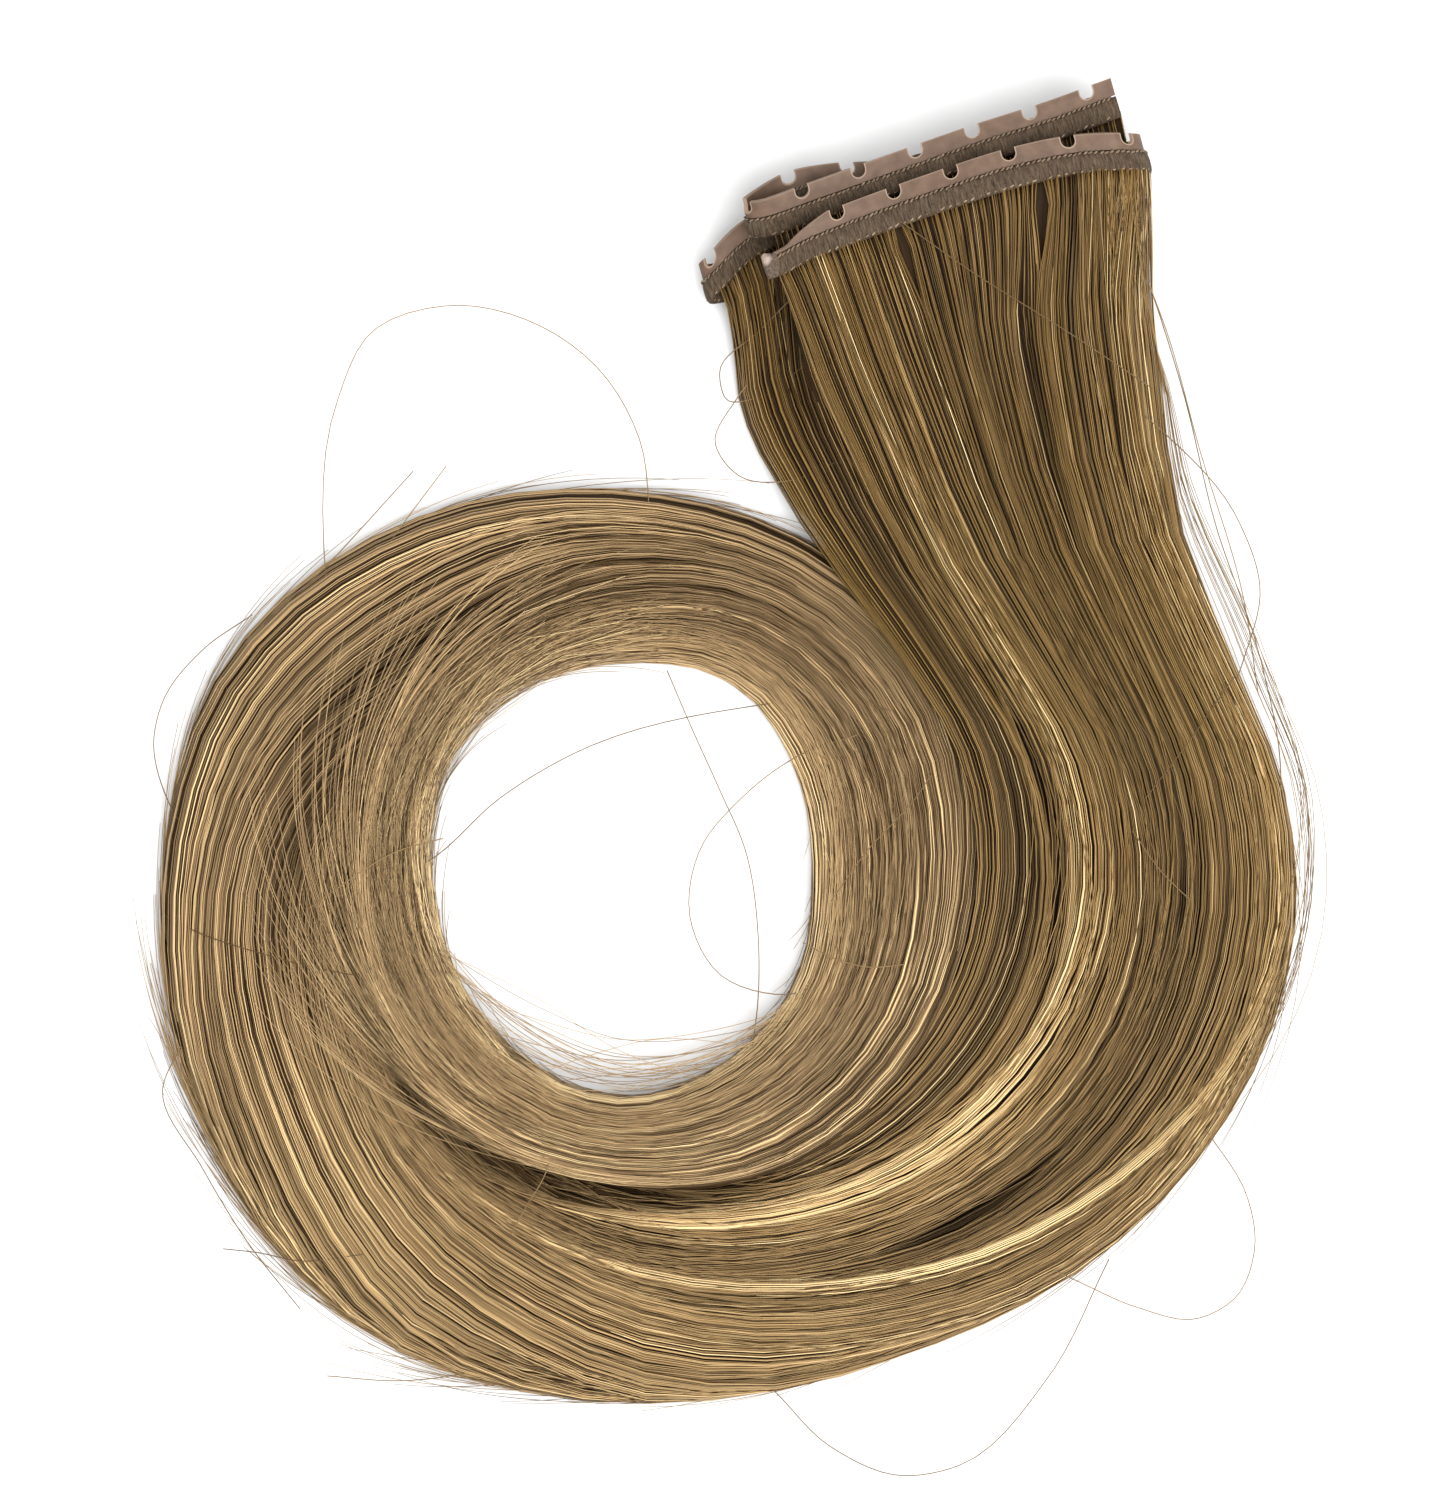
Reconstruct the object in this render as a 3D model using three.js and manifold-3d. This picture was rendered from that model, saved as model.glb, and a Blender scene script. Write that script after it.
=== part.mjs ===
// Butterfly weft hair extension: a notched tape and a sewn band folded together into a stack of five layers,
// with the hair that hangs from the band laid out in a flat coil with an open middle.
// Millimetres, +Z up, +Y towards the weft. The origin is under the middle of the part, on what it lies on.

import * as THREE from 'three';
import { mergeVertices } from 'three/addons/utils/BufferGeometryUtils.js';
import Module from 'manifold-3d';

const wasm = await Module();
wasm.setup();

// Weft: where the middle of the top layer lies, and how far its length is turned from +X
const WEFT_X = 26.8;
const WEFT_Y = 65.8;
const WEFT_TURN_DEG = 16;

// Strip: the tape above the seam line and the band below it
const TAPE_HEIGHT = 2.2;
const TAPE_THICKNESS = 0.7;
const BAND_HEIGHT = 2.4;
const BAND_THICKNESS = 1.5;
const BAND_CORNER = 0.35;
const PIECE_GAP = 0.3;
const STEPS_PER_ROW = 3;

// Notches cut in from the free edge of the tape
const NOTCH_WIDTH = 1.75;
const NOTCH_DEPTH = 1.5;
const NOTCH_PITCH = 7.5;
const FIRST_NOTCH = 9.2;
const NOTCH_MARGIN = 2;
const NOTCH_ARC_STEPS = 2;
const CUTTER_LENGTH = 1.6;

// Glue drop on the free end of the top layer
const SEAL_LENGTH = 2.2;
const SEAL_HEIGHT = 3.6;
const SEAL_THICKNESS = 1.9;
const SEAL_SHIFT = -0.8;
const SEAL_STEPS = 14;

// Coil: its centre, and the hair's own sizes
const COIL_X = -14.0;
const COIL_Y = -17.2;
const SHEET_THICKNESS = 1.2;
const SHEET_COLUMNS = 6;
const SHEET_STEPS = 2;
const SHEET_LANES = [0.05, 0.93];
const ROOT_RUN = 6;
const ROOT_GAP = 0.6;
const LOCK_STEPS = 2;
const TIP_SHARE = 0.3;
const TIP_RUN_DEG = 10;
const FLOOR_DIP = 1;
const FLOOR_SIZE = 400;
const EDGE_DROOP = 0.3;

const RAD = Math.PI / 180;
const SEARCH_STEPS = 24;

// The folded strip, from its sealed end to its other end, by its seam line.
// Columns: run, along the weft, across it, height, lift of the tape's free edge in degrees
const STRIP = [
  ['top', -22.2, 0.6, 11.6, 25],
  ['top', -18.0, 1.5, 11.6, 18],
  ['top', -11.0, 2.2, 11.6, 6],
  ['top', 0.0, 2.9, 11.6, 0],
  ['top', 9.0, 3.2, 11.6, 4],
  ['top', 17.0, 2.7, 11.6, 15],
  ['top', 22.4, 1.6, 11.4, 22],
  ['wrap', 25.0, 0.9, 9.6, 20],
  ['wrap', 25.8, 0.6, 6.3, 10],
  ['wrap', 24.8, 0.5, 2.9, 0],
  ['bottom', 22.0, 0.5, 1.3, 0],
  ['bottom', 8.0, 0.5, 1.2, 0],
  ['bottom', -10.0, 0.5, 1.2, 0],
  ['bottom', -24.0, 0.3, 1.2, 0],
  ['bottom', -29.6, 0.3, 1.3, 0],
  ['left fold', -31.0, 0.6, 2.5, 6],
  ['fourth', -29.4, 1.6, 3.8, 16],
  ['fourth', -24.4, 4.3, 3.8, 20],
  ['fourth', -14.0, 5.6, 3.7, 8],
  ['fourth', 0.0, 6.0, 3.7, 0],
  ['fourth', 14.0, 6.5, 3.7, 0],
  ['fourth', 22.4, 6.8, 3.7, 0],
  ['right fold', 23.9, 6.9, 5.0, 0],
  ['third', 22.4, 6.9, 6.4, 0],
  ['third', 10.0, 6.2, 6.4, 0],
  ['third', -4.0, 6.2, 6.4, 4],
  ['third', -12.0, 7.9, 6.4, 10],
  ['third', -17.5, 8.4, 6.4, 18],
  ['third', -22.0, 7.4, 6.5, 24],
  ['left fold', -23.8, 6.5, 7.8, 26],
  ['second', -22.2, 5.9, 9.1, 28],
  ['second', -15.0, 6.2, 9.0, 20],
  ['second', -6.0, 6.7, 9.0, 10],
  ['second', 6.0, 7.4, 9.0, 4],
  ['second', 16.0, 7.7, 9.0, 4],
  ['second', 24.3, 8.3, 9.0, 6],
];

// The way the hair lies, in sections across it from the weft round the coil and on inside the first turn.
// Angles run clockwise from +X round the coil's centre.
// Columns: angle of the section, angle and radius of its inner edge, the same of its outer edge, height
const FLOW = [
  [-58, -72, 56.3, -44.5, 95.0, 10.0],
  [-46, -58, 48.1, -35, 85.0, 8.8],
  [-30, -40, 44.8, -20, 82.1, 8.0],
  [-13, -20, 45.1, -7, 84.5, 7.4],
  [6, 4, 46.0, 8, 85.1, 7.0],
  [30, 30, 45.4, 30, 79.6, 7.0],
  [60, 60, 42.0, 60, 69.6, 6.8],
  [90, 90, 37.5, 90, 65.9, 6.6],
  [120, 120, 35.6, 120, 65.4, 6.5],
  [150, 150, 33.8, 150, 61.0, 6.5],
  [180, 180, 31.9, 180, 57.7, 6.5],
  [210, 210, 29.4, 210, 56.6, 6.6],
  [240, 240, 27.1, 240, 52.5, 6.8],
  [270, 270, 27.1, 270, 49.3, 6.8],
  [300, 300, 28.3, 300, 48.9, 6.4],
  [330, 330, 25.8, 330, 48.6, 6.4],
  [360, 360, 24.1, 360, 45.6, 7.2],
  [390, 390, 25.4, 390, 44.0, 8.2],
  [420, 420, 26.4, 420, 41.9, 9.0],
  [450, 450, 27.1, 450, 38.6, 9.4],
  [480, 480, 25.4, 480, 37.5, 9.2],
  [510, 510, 23.8, 510, 36.5, 8.8],
  [540, 540, 23.6, 540, 36.3, 8.4],
  [570, 570, 25.3, 570, 36.9, 8.0],
  [600, 600, 26.5, 600, 38.1, 7.6],
  [630, 630, 27.1, 630, 38.8, 7.2],
];

// Locks, from the inner edge to the outer one. A lane is a place across the hair, from 0 inside to 1 outside.
// Columns: run, place and width of the root, lanes where the hair falls, right of the coil, below it, left
// of it, above it and on the second turn, angle of the tip, shares of the hair's width and height, underside
const LOCKS = [
  ['fourth', -25.4, 6.6, 0.06, 0.07, 0.05, 0.07, 0.09, 0.12, 612, 0.17, 0.94, 0],
  ['top', -18.6, 7.6, 0.17, 0.2, 0.09, 0.17, 0.2, 0.24, 628, 0.15, 1.0, 0],
  ['top', -11.4, 7.6, 0.29, 0.34, 0.17, 0.27, 0.31, 0.36, 575, 0.15, 1.05, 0],
  ['top', -4.0, 7.6, 0.42, 0.47, 0.29, 0.38, 0.42, 0.48, 604, 0.15, 0.98, 0],
  ['top', 3.6, 7.6, 0.55, 0.6, 0.42, 0.49, 0.53, 0.6, 548, 0.15, 0.94, 0],
  ['top', 11.0, 7.6, 0.68, 0.73, 0.56, 0.6, 0.64, 0.71, 566, 0.15, 1.02, 0],
  ['top', 18.2, 7.6, 0.8, 0.84, 0.69, 0.71, 0.74, 0.82, 536, 0.15, 0.96, 0],
  ['wrap', 25.4, 2.4, 0.93, 0.95, 0.46, 0.36, 0.34, 0.4, 585, 0.12, 1.14, 2],
  ['bottom', 17.0, 7.0, 0.91, 0.93, 0.84, 0.83, 0.85, 0.88, 522, 0.15, 0.92, 0],
  ['bottom', 8.0, 7.6, 0.84, 0.88, 0.94, 0.93, 0.92, 0.92, 506, 0.14, 0.84, 0],
];
const LANE_STOPS = [-58, 6, 80, 180, 270, 400];

// Hair sheets of the four lower layers, from the band down to where they run together under the top locks.
// Columns: run, place of the first and last root, heights at the first three sections of the flow
const SHEETS = [
  ['second', -20.5, 22.4, 6.6, 5.6, 5.0],
  ['third', -20.5, 21.4, 5.5, 4.6, 4.0],
  ['fourth', -22.5, 21.4, 4.4, 3.6, 3.0],
  ['bottom', -28.0, 21.0, 3.3, 2.6, 2.0],
];

// Outline of a lock across its length: share of half the width, share of the height
const LOCK_OUTLINE = [[1, 0], [1, 0.5], [0.48, 1], [-0.48, 1], [-1, 0.5], [-1, 0]];

const weft = new THREE.Group();
weft.position.set(WEFT_X, WEFT_Y, 0);
weft.rotation.z = WEFT_TURN_DEG * RAD;
weft.updateMatrixWorld();

// A closed tube through rings of points that run anticlockwise round its length
function loft(rings) {
  const sides = rings[0].length;
  const last = (rings.length - 1) * sides;
  const faces = [];
  for (let ring = 0; ring < last; ring += sides) {
    for (let side = 0; side < sides; side += 1) {
      const a = ring + side;
      const b = ring + ((side + 1) % sides);
      faces.push(a, b, b + sides, a, b + sides, a + sides);
    }
  }
  for (let side = 1; side + 1 < sides; side += 1) {
    faces.push(0, side + 1, side, last, last + side, last + side + 1);
  }
  return meshOf(rings.flat(), faces);
}

// A closed slab of even thickness round a grid of points, rows along the hair and columns across it
function slab(grid, thickness) {
  const rows = grid.length;
  const columns = grid[0].length;
  const half = new THREE.Vector3(0, 0, thickness / 2);
  const middle = grid.flat();
  const under = middle.length;
  const points = [...middle.map((p) => p.clone().add(half)), ...middle.map((p) => p.clone().sub(half))];
  const faces = [];
  for (let row = 0; row + 1 < rows; row += 1) {
    for (let column = 0; column + 1 < columns; column += 1) {
      const a = row * columns + column;
      const b = a + columns;
      faces.push(a, b, b + 1, a, b + 1, a + 1);
      faces.push(a + under, b + 1 + under, b + under, a + under, a + 1 + under, b + 1 + under);
    }
  }
  const rim = [];
  for (let row = 0; row < rows; row += 1) rim.push(row * columns);
  for (let column = 1; column < columns; column += 1) rim.push((rows - 1) * columns + column);
  for (let row = rows - 2; row >= 0; row -= 1) rim.push(row * columns + columns - 1);
  for (let column = columns - 2; column > 0; column -= 1) rim.push(column);
  rim.forEach((p, place) => {
    const q = rim[(place + 1) % rim.length];
    faces.push(q, p, p + under, q, p + under, q + under);
  });
  return meshOf(points, faces);
}

function meshOf(points, faces) {
  const geometry = new THREE.BufferGeometry();
  geometry.setAttribute('position', new THREE.Float32BufferAttribute(points.flatMap((p) => p.toArray()), 3));
  geometry.setIndex(faces);
  return geometry;
}

// Joining and cutting of closed shapes
function solidOf(geometry) {
  const bare = geometry.clone();
  bare.deleteAttribute('normal');
  bare.deleteAttribute('uv');
  const merged = mergeVertices(bare);
  return new wasm.Manifold(new wasm.Mesh({
    numProp: 3,
    vertProperties: new Float32Array(merged.attributes.position.array),
    triVerts: new Uint32Array(merged.index.array),
  }));
}

function geometryOf(solid) {
  const mesh = solid.getMesh();
  const geometry = new THREE.BufferGeometry();
  geometry.setAttribute('position', new THREE.Float32BufferAttribute(mesh.vertProperties, 3));
  geometry.setIndex(new THREE.Uint32BufferAttribute(mesh.triVerts, 1));
  return geometry;
}

function piece(name, geometry, colour, roughness) {
  geometry.computeVertexNormals();
  const material = new THREE.MeshStandardMaterial({ color: colour, roughness, metalness: 0 });
  const mesh = new THREE.Mesh(geometry, material);
  mesh.name = name;
  return mesh;
}

// A smooth curve through the given columns of a table
function curveThrough(rows) {
  return new THREE.CatmullRomCurve3(rows.map((row) => new THREE.Vector3(...row)));
}

const seamLine = curveThrough(STRIP.map((row) => row.slice(1, 4)));
const seamTilt = curveThrough(STRIP.map((row) => [row[4], 0, 0]));

// Place on the strip: its point on the seam line, the way it runs, the way up its face, and the way out of it
function stripAt(share) {
  const place = seamLine.getPoint(share);
  const run = seamLine.getTangent(share);
  const tilt = seamTilt.getPoint(share).x * RAD;
  const rise = new THREE.Vector3(0, Math.cos(tilt), Math.sin(tilt));
  const face = run.clone().cross(rise).normalize();
  return { place, run, rise, face };
}

function onStrip({ place, rise, face }, up, out) {
  return place.clone().addScaledVector(rise, up).addScaledVector(face, out);
}

// A strip of the given outline, in heights above the seam line and distances out of the face
function stripAlong(outline) {
  const steps = (STRIP.length - 1) * STEPS_PER_ROW;
  const rings = [];
  for (let step = 0; step <= steps; step += 1) {
    const spot = stripAt(step / steps);
    rings.push(outline.map(([up, out]) => onStrip(spot, up, out)));
  }
  return loft(rings);
}

// Notched tape
function notchedTape() {
  const low = PIECE_GAP / 2;
  const high = low + TAPE_HEIGHT;
  const half = TAPE_THICKNESS / 2;
  const plain = stripAlong([[low, -half], [high, -half], [high, half], [low, half]]);

  const radius = NOTCH_WIDTH / 2;
  const notch = new THREE.Shape();
  notch.moveTo(-radius, high + NOTCH_DEPTH);
  notch.lineTo(-radius, high - NOTCH_DEPTH + radius);
  notch.absarc(0, high - NOTCH_DEPTH + radius, radius, Math.PI, 2 * Math.PI, false);
  notch.lineTo(radius, high + NOTCH_DEPTH);
  const cutter = new THREE.ExtrudeGeometry(notch, {
    depth: CUTTER_LENGTH, bevelEnabled: false, curveSegments: NOTCH_ARC_STEPS,
  });
  cutter.translate(0, 0, -CUTTER_LENGTH / 2);

  let tape = solidOf(plain);
  const length = seamLine.getLength();
  for (let at = FIRST_NOTCH; at < length - NOTCH_MARGIN; at += NOTCH_PITCH) {
    const { place, rise, face } = stripAt(seamLine.getUtoTmapping(at / length));
    const turned = new THREE.Matrix4().makeBasis(rise.clone().cross(face), rise, face).setPosition(place);
    tape = tape.subtract(solidOf(cutter.clone().applyMatrix4(turned)));
  }
  return piece('notched_tape', geometryOf(tape), 0x9a8474, 0.5);
}

// Sewn band
function sewnBand() {
  const high = -PIECE_GAP / 2;
  const low = high - BAND_HEIGHT;
  const half = BAND_THICKNESS / 2;
  const c = BAND_CORNER;
  const outline = [
    [low, -half + c], [low + c, -half], [high - c, -half], [high, -half + c],
    [high, half - c], [high - c, half], [low + c, half], [low, half - c],
  ];
  return piece('sewn_band', stripAlong(outline), 0x8d7a5f, 0.9);
}

// Glue drop on the free end of the top layer
function endSeal() {
  const { place, run, rise } = stripAt(0);
  const drop = new THREE.SphereGeometry(0.5, SEAL_STEPS, SEAL_STEPS / 2);
  drop.scale(SEAL_LENGTH, SEAL_HEIGHT, SEAL_THICKNESS);
  const level = run.clone().addScaledVector(rise, -run.dot(rise)).normalize();
  const turned = new THREE.Matrix4().makeBasis(level, rise, level.clone().cross(rise));
  const middle = place.clone().addScaledVector(level, -SEAL_LENGTH / 2 - PIECE_GAP);
  turned.setPosition(middle.addScaledVector(rise, SEAL_SHIFT));
  return piece('end_seal', geometryOf(solidOf(drop.applyMatrix4(turned))), 0xc9b496, 0.4);
}

// Two points where the hair comes out just below the band of a run, at a distance along the weft
function rootAt(run, along) {
  const rows = STRIP.map((row, place) => [row[0] === run, place]).filter((row) => row[0]);
  const first = rows[0][1] / (STRIP.length - 1);
  const last = rows[rows.length - 1][1] / (STRIP.length - 1);
  const rising = seamLine.getPoint(last).x > seamLine.getPoint(first).x;
  let near = first;
  let far = last;
  for (let halving = 0; halving < SEARCH_STEPS; halving += 1) {
    const middle = (near + far) / 2;
    if ((seamLine.getPoint(middle).x < along) === rising) near = middle;
    else far = middle;
  }
  const spot = stripAt(near);
  const root = onStrip(spot, -PIECE_GAP / 2 - BAND_HEIGHT - ROOT_GAP, 0).applyMatrix4(weft.matrixWorld);
  const below = new THREE.Vector3(spot.run.x * spot.run.y, -1, 0).normalize();
  return [root, root.clone().addScaledVector(below.transformDirection(weft.matrixWorld), ROOT_RUN)];
}

function aroundCoil(degrees, radius) {
  return new THREE.Vector3(
    COIL_X + radius * Math.cos(degrees * RAD),
    COIL_Y - radius * Math.sin(degrees * RAD),
    0,
  );
}

// The row of the flow at an angle, between the rows of the table
function flowAt(angle) {
  const next = Math.max(1, FLOW.findIndex((row) => row[0] >= angle));
  const [before, after] = [FLOW[next - 1], FLOW[next]];
  const share = (angle - before[0]) / (after[0] - before[0]);
  return before.map((value, column) => THREE.MathUtils.lerp(value, after[column], share));
}

// Across the hair at a row of the flow: the point in a lane, the width, and the top height there
function acrossFlow(row, lane) {
  const inner = aroundCoil(row[1], row[2]);
  const outer = aroundCoil(row[3], row[4]);
  const droop = 1 - EDGE_DROOP * Math.abs(2 * lane - 1) ** 3;
  return { point: inner.clone().lerp(outer, lane), width: inner.distanceTo(outer), top: row[5] * droop };
}

function laneAt(lanes, angle) {
  const next = LANE_STOPS.findIndex((stop) => stop >= angle);
  if (next === 0) return lanes[0];
  if (next < 0) return lanes[lanes.length - 1];
  const share = THREE.MathUtils.smoothstep(angle, LANE_STOPS[next - 1], LANE_STOPS[next]);
  return THREE.MathUtils.lerp(lanes[next - 1], lanes[next], share);
}

// One lock from its root to its tip, flat below and rounded above
function lock([run, along, rootWidth, ...rest]) {
  const lanes = rest.slice(0, LANE_STOPS.length);
  const [tipAngle, widthShare, heightShare, underside] = rest.slice(LANE_STOPS.length);
  const way = rootAt(run, along);
  const half = SHEET_THICKNESS / 2;
  const sizes = way.map((p) => [rootWidth / 2, p.z - half, p.z + half]);
  const rows = FLOW.filter((row) => row[0] < tipAngle - TIP_RUN_DEG);
  rows.push(flowAt(tipAngle));
  rows.forEach((row, place) => {
    const { point, width, top } = acrossFlow(row, laneAt(lanes, row[0]));
    const taper = place === rows.length - 1 ? TIP_SHARE : 1;
    const low = underside || -FLOOR_DIP;
    way.push(point);
    sizes.push([(width * widthShare * taper) / 2, low, low + (top * heightShare - low) * taper]);
  });

  const path = curveThrough(way.map((p) => [p.x, p.y, 0]));
  const size = curveThrough(sizes);
  const steps = (way.length - 1) * LOCK_STEPS;
  const rings = [];
  for (let step = 0; step <= steps; step += 1) {
    const middle = path.getPoint(step / steps);
    const ahead = path.getTangent(step / steps);
    const outward = new THREE.Vector3(-ahead.y, ahead.x, 0).normalize();
    const { x: reach, y: low, z: top } = size.getPoint(step / steps);
    rings.push(LOCK_OUTLINE.map(([side, up]) => (
      middle.clone().addScaledVector(outward, side * reach).setZ(low + up * (top - low)))));
  }
  return loft(rings);
}

// The hair of one lower layer, as a sheet that runs in under the locks of the top layer
function sheet([run, first, last, ...heights]) {
  const columns = [];
  for (let column = 0; column <= SHEET_COLUMNS; column += 1) {
    const share = column / SHEET_COLUMNS;
    const way = rootAt(run, THREE.MathUtils.lerp(first, last, share));
    heights.forEach((height, row) => {
      way.push(acrossFlow(FLOW[row], THREE.MathUtils.lerp(...SHEET_LANES, share)).point.setZ(height));
    });
    columns.push(curveThrough(way.map((p) => p.toArray())).getPoints((way.length - 1) * SHEET_STEPS));
  }
  const grid = columns[0].map((_, row) => columns.map((column) => column[row]));
  return slab(grid, SHEET_THICKNESS);
}

// Hair: all locks and sheets fused, flat where they lie on the surface
function hair() {
  const floor = new THREE.BoxGeometry(FLOOR_SIZE, FLOOR_SIZE, FLOOR_SIZE);
  floor.translate(0, 0, -FLOOR_SIZE / 2);
  const shapes = [...LOCKS.map(lock), ...SHEETS.map(sheet)].map(solidOf);
  const fused = shapes.reduce((all, next) => all.add(next));
  return piece('hair', geometryOf(fused.subtract(solidOf(floor))), 0xa98a5c, 0.55);
}

weft.add(notchedTape(), sewnBand(), endSeal());

const extension = new THREE.Group();
extension.add(weft, hair());

export default extension;
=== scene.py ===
import math
from collections import namedtuple

import bpy
import numpy as np
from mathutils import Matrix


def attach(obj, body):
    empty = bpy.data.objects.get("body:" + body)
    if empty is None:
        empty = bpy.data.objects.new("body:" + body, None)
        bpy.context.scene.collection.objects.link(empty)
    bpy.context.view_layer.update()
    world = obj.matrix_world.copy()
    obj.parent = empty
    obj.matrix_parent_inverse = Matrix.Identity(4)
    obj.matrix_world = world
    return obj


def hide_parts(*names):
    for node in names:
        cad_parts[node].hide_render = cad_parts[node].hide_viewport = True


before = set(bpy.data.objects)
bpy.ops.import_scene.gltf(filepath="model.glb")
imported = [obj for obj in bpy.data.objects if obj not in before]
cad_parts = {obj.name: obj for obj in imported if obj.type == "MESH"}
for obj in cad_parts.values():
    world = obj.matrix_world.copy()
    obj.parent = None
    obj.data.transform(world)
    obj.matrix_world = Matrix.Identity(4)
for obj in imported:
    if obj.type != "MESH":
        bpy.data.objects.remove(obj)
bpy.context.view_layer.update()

# All sizes are in millimetres and become metres as each mesh is laid in place
MM = 0.001
chance = np.random.default_rng(41)

# The strip: where it lies, its tape, its band and the notches of the tape
WEFT_X = 26.8
WEFT_Y = 65.8
WEFT_TURN_DEG = 16
TAPE_HEIGHT = 2.2
TAPE_THICKNESS = 0.55
TAPE_RIM_FROM_DEG = 50
TAPE_CELLS = (620, 2)
BAND_HEIGHT = 2.4
BAND_THICKNESS = 1.3
BAND_CELLS = (1070, 6)
BAND_THINNING = 0.45
PIECE_GAP = 0.3
NOTCH_WIDTH = 1.75
NOTCH_DEPTH = 1.5
NOTCH_PITCH = 7.5
NOTCH_SIDES = 20
FIRST_NOTCH = 9.2
NOTCH_MARGIN = 2
# The tape is narrow at the glued end: where it starts and is full, its least share there, how it grows
TAPE_STARTS = 1.6
TAPE_FULL = 8.0
TAPE_LEAST = 0.06
TAPE_GROWTH = 0.7
# Ribs across the band, pitch and size of each, and how they waver along it
RIBS = ((0.83, 0.05), (1.37, 0.05), (2.9, 0.05))
RIB_WAVER = 0.7
RIB_WAVER_RATE = 0.31
# How uneven the stitches are: lean, size, place along and place up the band
STITCH_LEAN_JITTER = 0.07
STITCH_GROWTH = (0.85, 1.12)
STITCH_ALONG_JITTER = 0.05
STITCH_UP_JITTER = 0.04
# The matted end: half sizes, squareness, lumps, place on the strip, and the drop of glue on its corner
SEAL_HALVES = (1.1, 1.55, 0.72)
SEAL_SQUARENESS = 0.6
SEAL_LUMPS = 0.04
SEAL_PLACE = (-0.5, -1.0, 0)
GLUE_X = -0.5
GLUE_Y = 1.3
GLUE_SPREAD = 0.3
GLUE_PULL = (-0.15, 0.3, 0)
GLUE_SWELL = (0, 0, 0.35)

# Strip rows: along, across, height, lift of the tape's free edge in degrees
STRIP = np.array([
    (-22.2, 0.6, 11.6, 25), (-18, 1.5, 11.6, 18), (-11, 2.2, 11.6, 6), (0, 2.9, 11.6, 0),
    (9, 3.2, 11.6, 4), (17, 2.7, 11.6, 15), (22.4, 1.6, 11.4, 22),
    (25, 0.9, 9.6, 20), (25.8, 0.6, 6.3, 10), (24.8, 0.5, 2.9, 0),
    (22, 0.5, 1.3, 0), (8, 0.5, 1.2, 0), (-10, 0.5, 1.2, 0), (-24, 0.3, 1.2, 0), (-29.6, 0.3, 1.3, 0),
    (-31, 0.6, 2.5, 6),
    (-29.4, 1.6, 3.8, 16), (-24.4, 4.3, 3.8, 20), (-14, 5.6, 3.7, 8), (0, 6.0, 3.7, 0),
    (14, 6.5, 3.7, 0), (22.4, 6.8, 3.7, 0),
    (23.9, 6.9, 5.0, 0),
    (22.4, 6.9, 6.4, 0), (10, 6.2, 6.4, 0), (-4, 6.2, 6.4, 4), (-12, 7.9, 6.4, 10), (-17.5, 8.4, 6.4, 18),
    (-22, 7.4, 6.5, 24),
    (-23.8, 6.5, 7.8, 26),
    (-22.2, 5.9, 9.1, 28), (-15, 6.2, 9.0, 20), (-6, 6.7, 9.0, 10), (6, 7.4, 9.0, 4),
    (16, 7.7, 9.0, 4), (24.3, 8.3, 9.0, 6),
])
# First and last strip row of each run
RUNS = {"top": (0, 6), "wrap": (6, 8), "bottom": (10, 14), "fourth": (16, 21), "third": (23, 28),
        "second": (30, 35)}
ROW_STEPS = 60

# The coil: clockwise angles in degrees round its middle
COIL_X = -14.0
COIL_Y = -17.2
EDGE_ROUND = 5
EDGE_FULLNESS = 0.55
# Angles and shares where the flow's edges stand up instead of rounding off, the inner edge and then the outer
INNER_STAND = ((-50, -25, 65, 85), (0, 1, 1, 0))
OUTER_STAND = ((300, 330, 415, 440, 490, 520), (0, 1, 1, 0.7, 0.7, 0))
EDGE_STAND = 0.85
# Flow rows: section angle, inner edge angle, inner radius, outer edge angle, outer radius, top height
FLOW = np.array([
    (-58, -72, 56.3, -44.5, 95.0, 10.0), (-46, -58, 48.1, -35, 85.0, 8.8), (-30, -40, 44.8, -20, 82.1, 8.0),
    (-13, -20, 45.1, -7, 84.5, 7.4), (6, 4, 44.6, 8, 85.1, 7.0), (30, 30, 42.6, 30, 79.6, 7.0),
    (60, 60, 39.6, 60, 69.6, 6.8), (90, 90, 36.6, 90, 65.9, 6.6), (120, 120, 35.6, 120, 65.4, 6.5),
    (150, 150, 33.8, 150, 61.0, 6.5), (180, 180, 31.9, 180, 57.7, 6.5), (210, 210, 29.4, 210, 56.6, 6.6),
    (240, 240, 27.1, 240, 52.5, 6.8), (270, 270, 27.1, 270, 49.3, 6.8), (300, 300, 28.3, 300, 48.9, 5.9),
    (330, 330, 25.8, 330, 48.6, 5.4), (360, 360, 24.1, 360, 45.6, 5.8), (390, 390, 25.4, 390, 44.0, 7.2),
    (420, 420, 26.4, 420, 41.9, 8.6), (450, 450, 27.1, 450, 38.6, 9.4), (480, 480, 25.4, 480, 37.5, 9.2),
    (510, 510, 23.8, 510, 36.5, 8.8), (540, 540, 23.6, 540, 36.3, 8.4), (570, 570, 25.3, 570, 36.9, 8.0),
    (600, 600, 26.5, 600, 38.1, 7.6), (630, 630, 27.1, 630, 38.8, 7.2), (660, 660, 28.3, 660, 39.4, 7.0),
])
FALL_START = -58
ROOT_ANGLE = -95
LAST_ANGLE = 640

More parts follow.
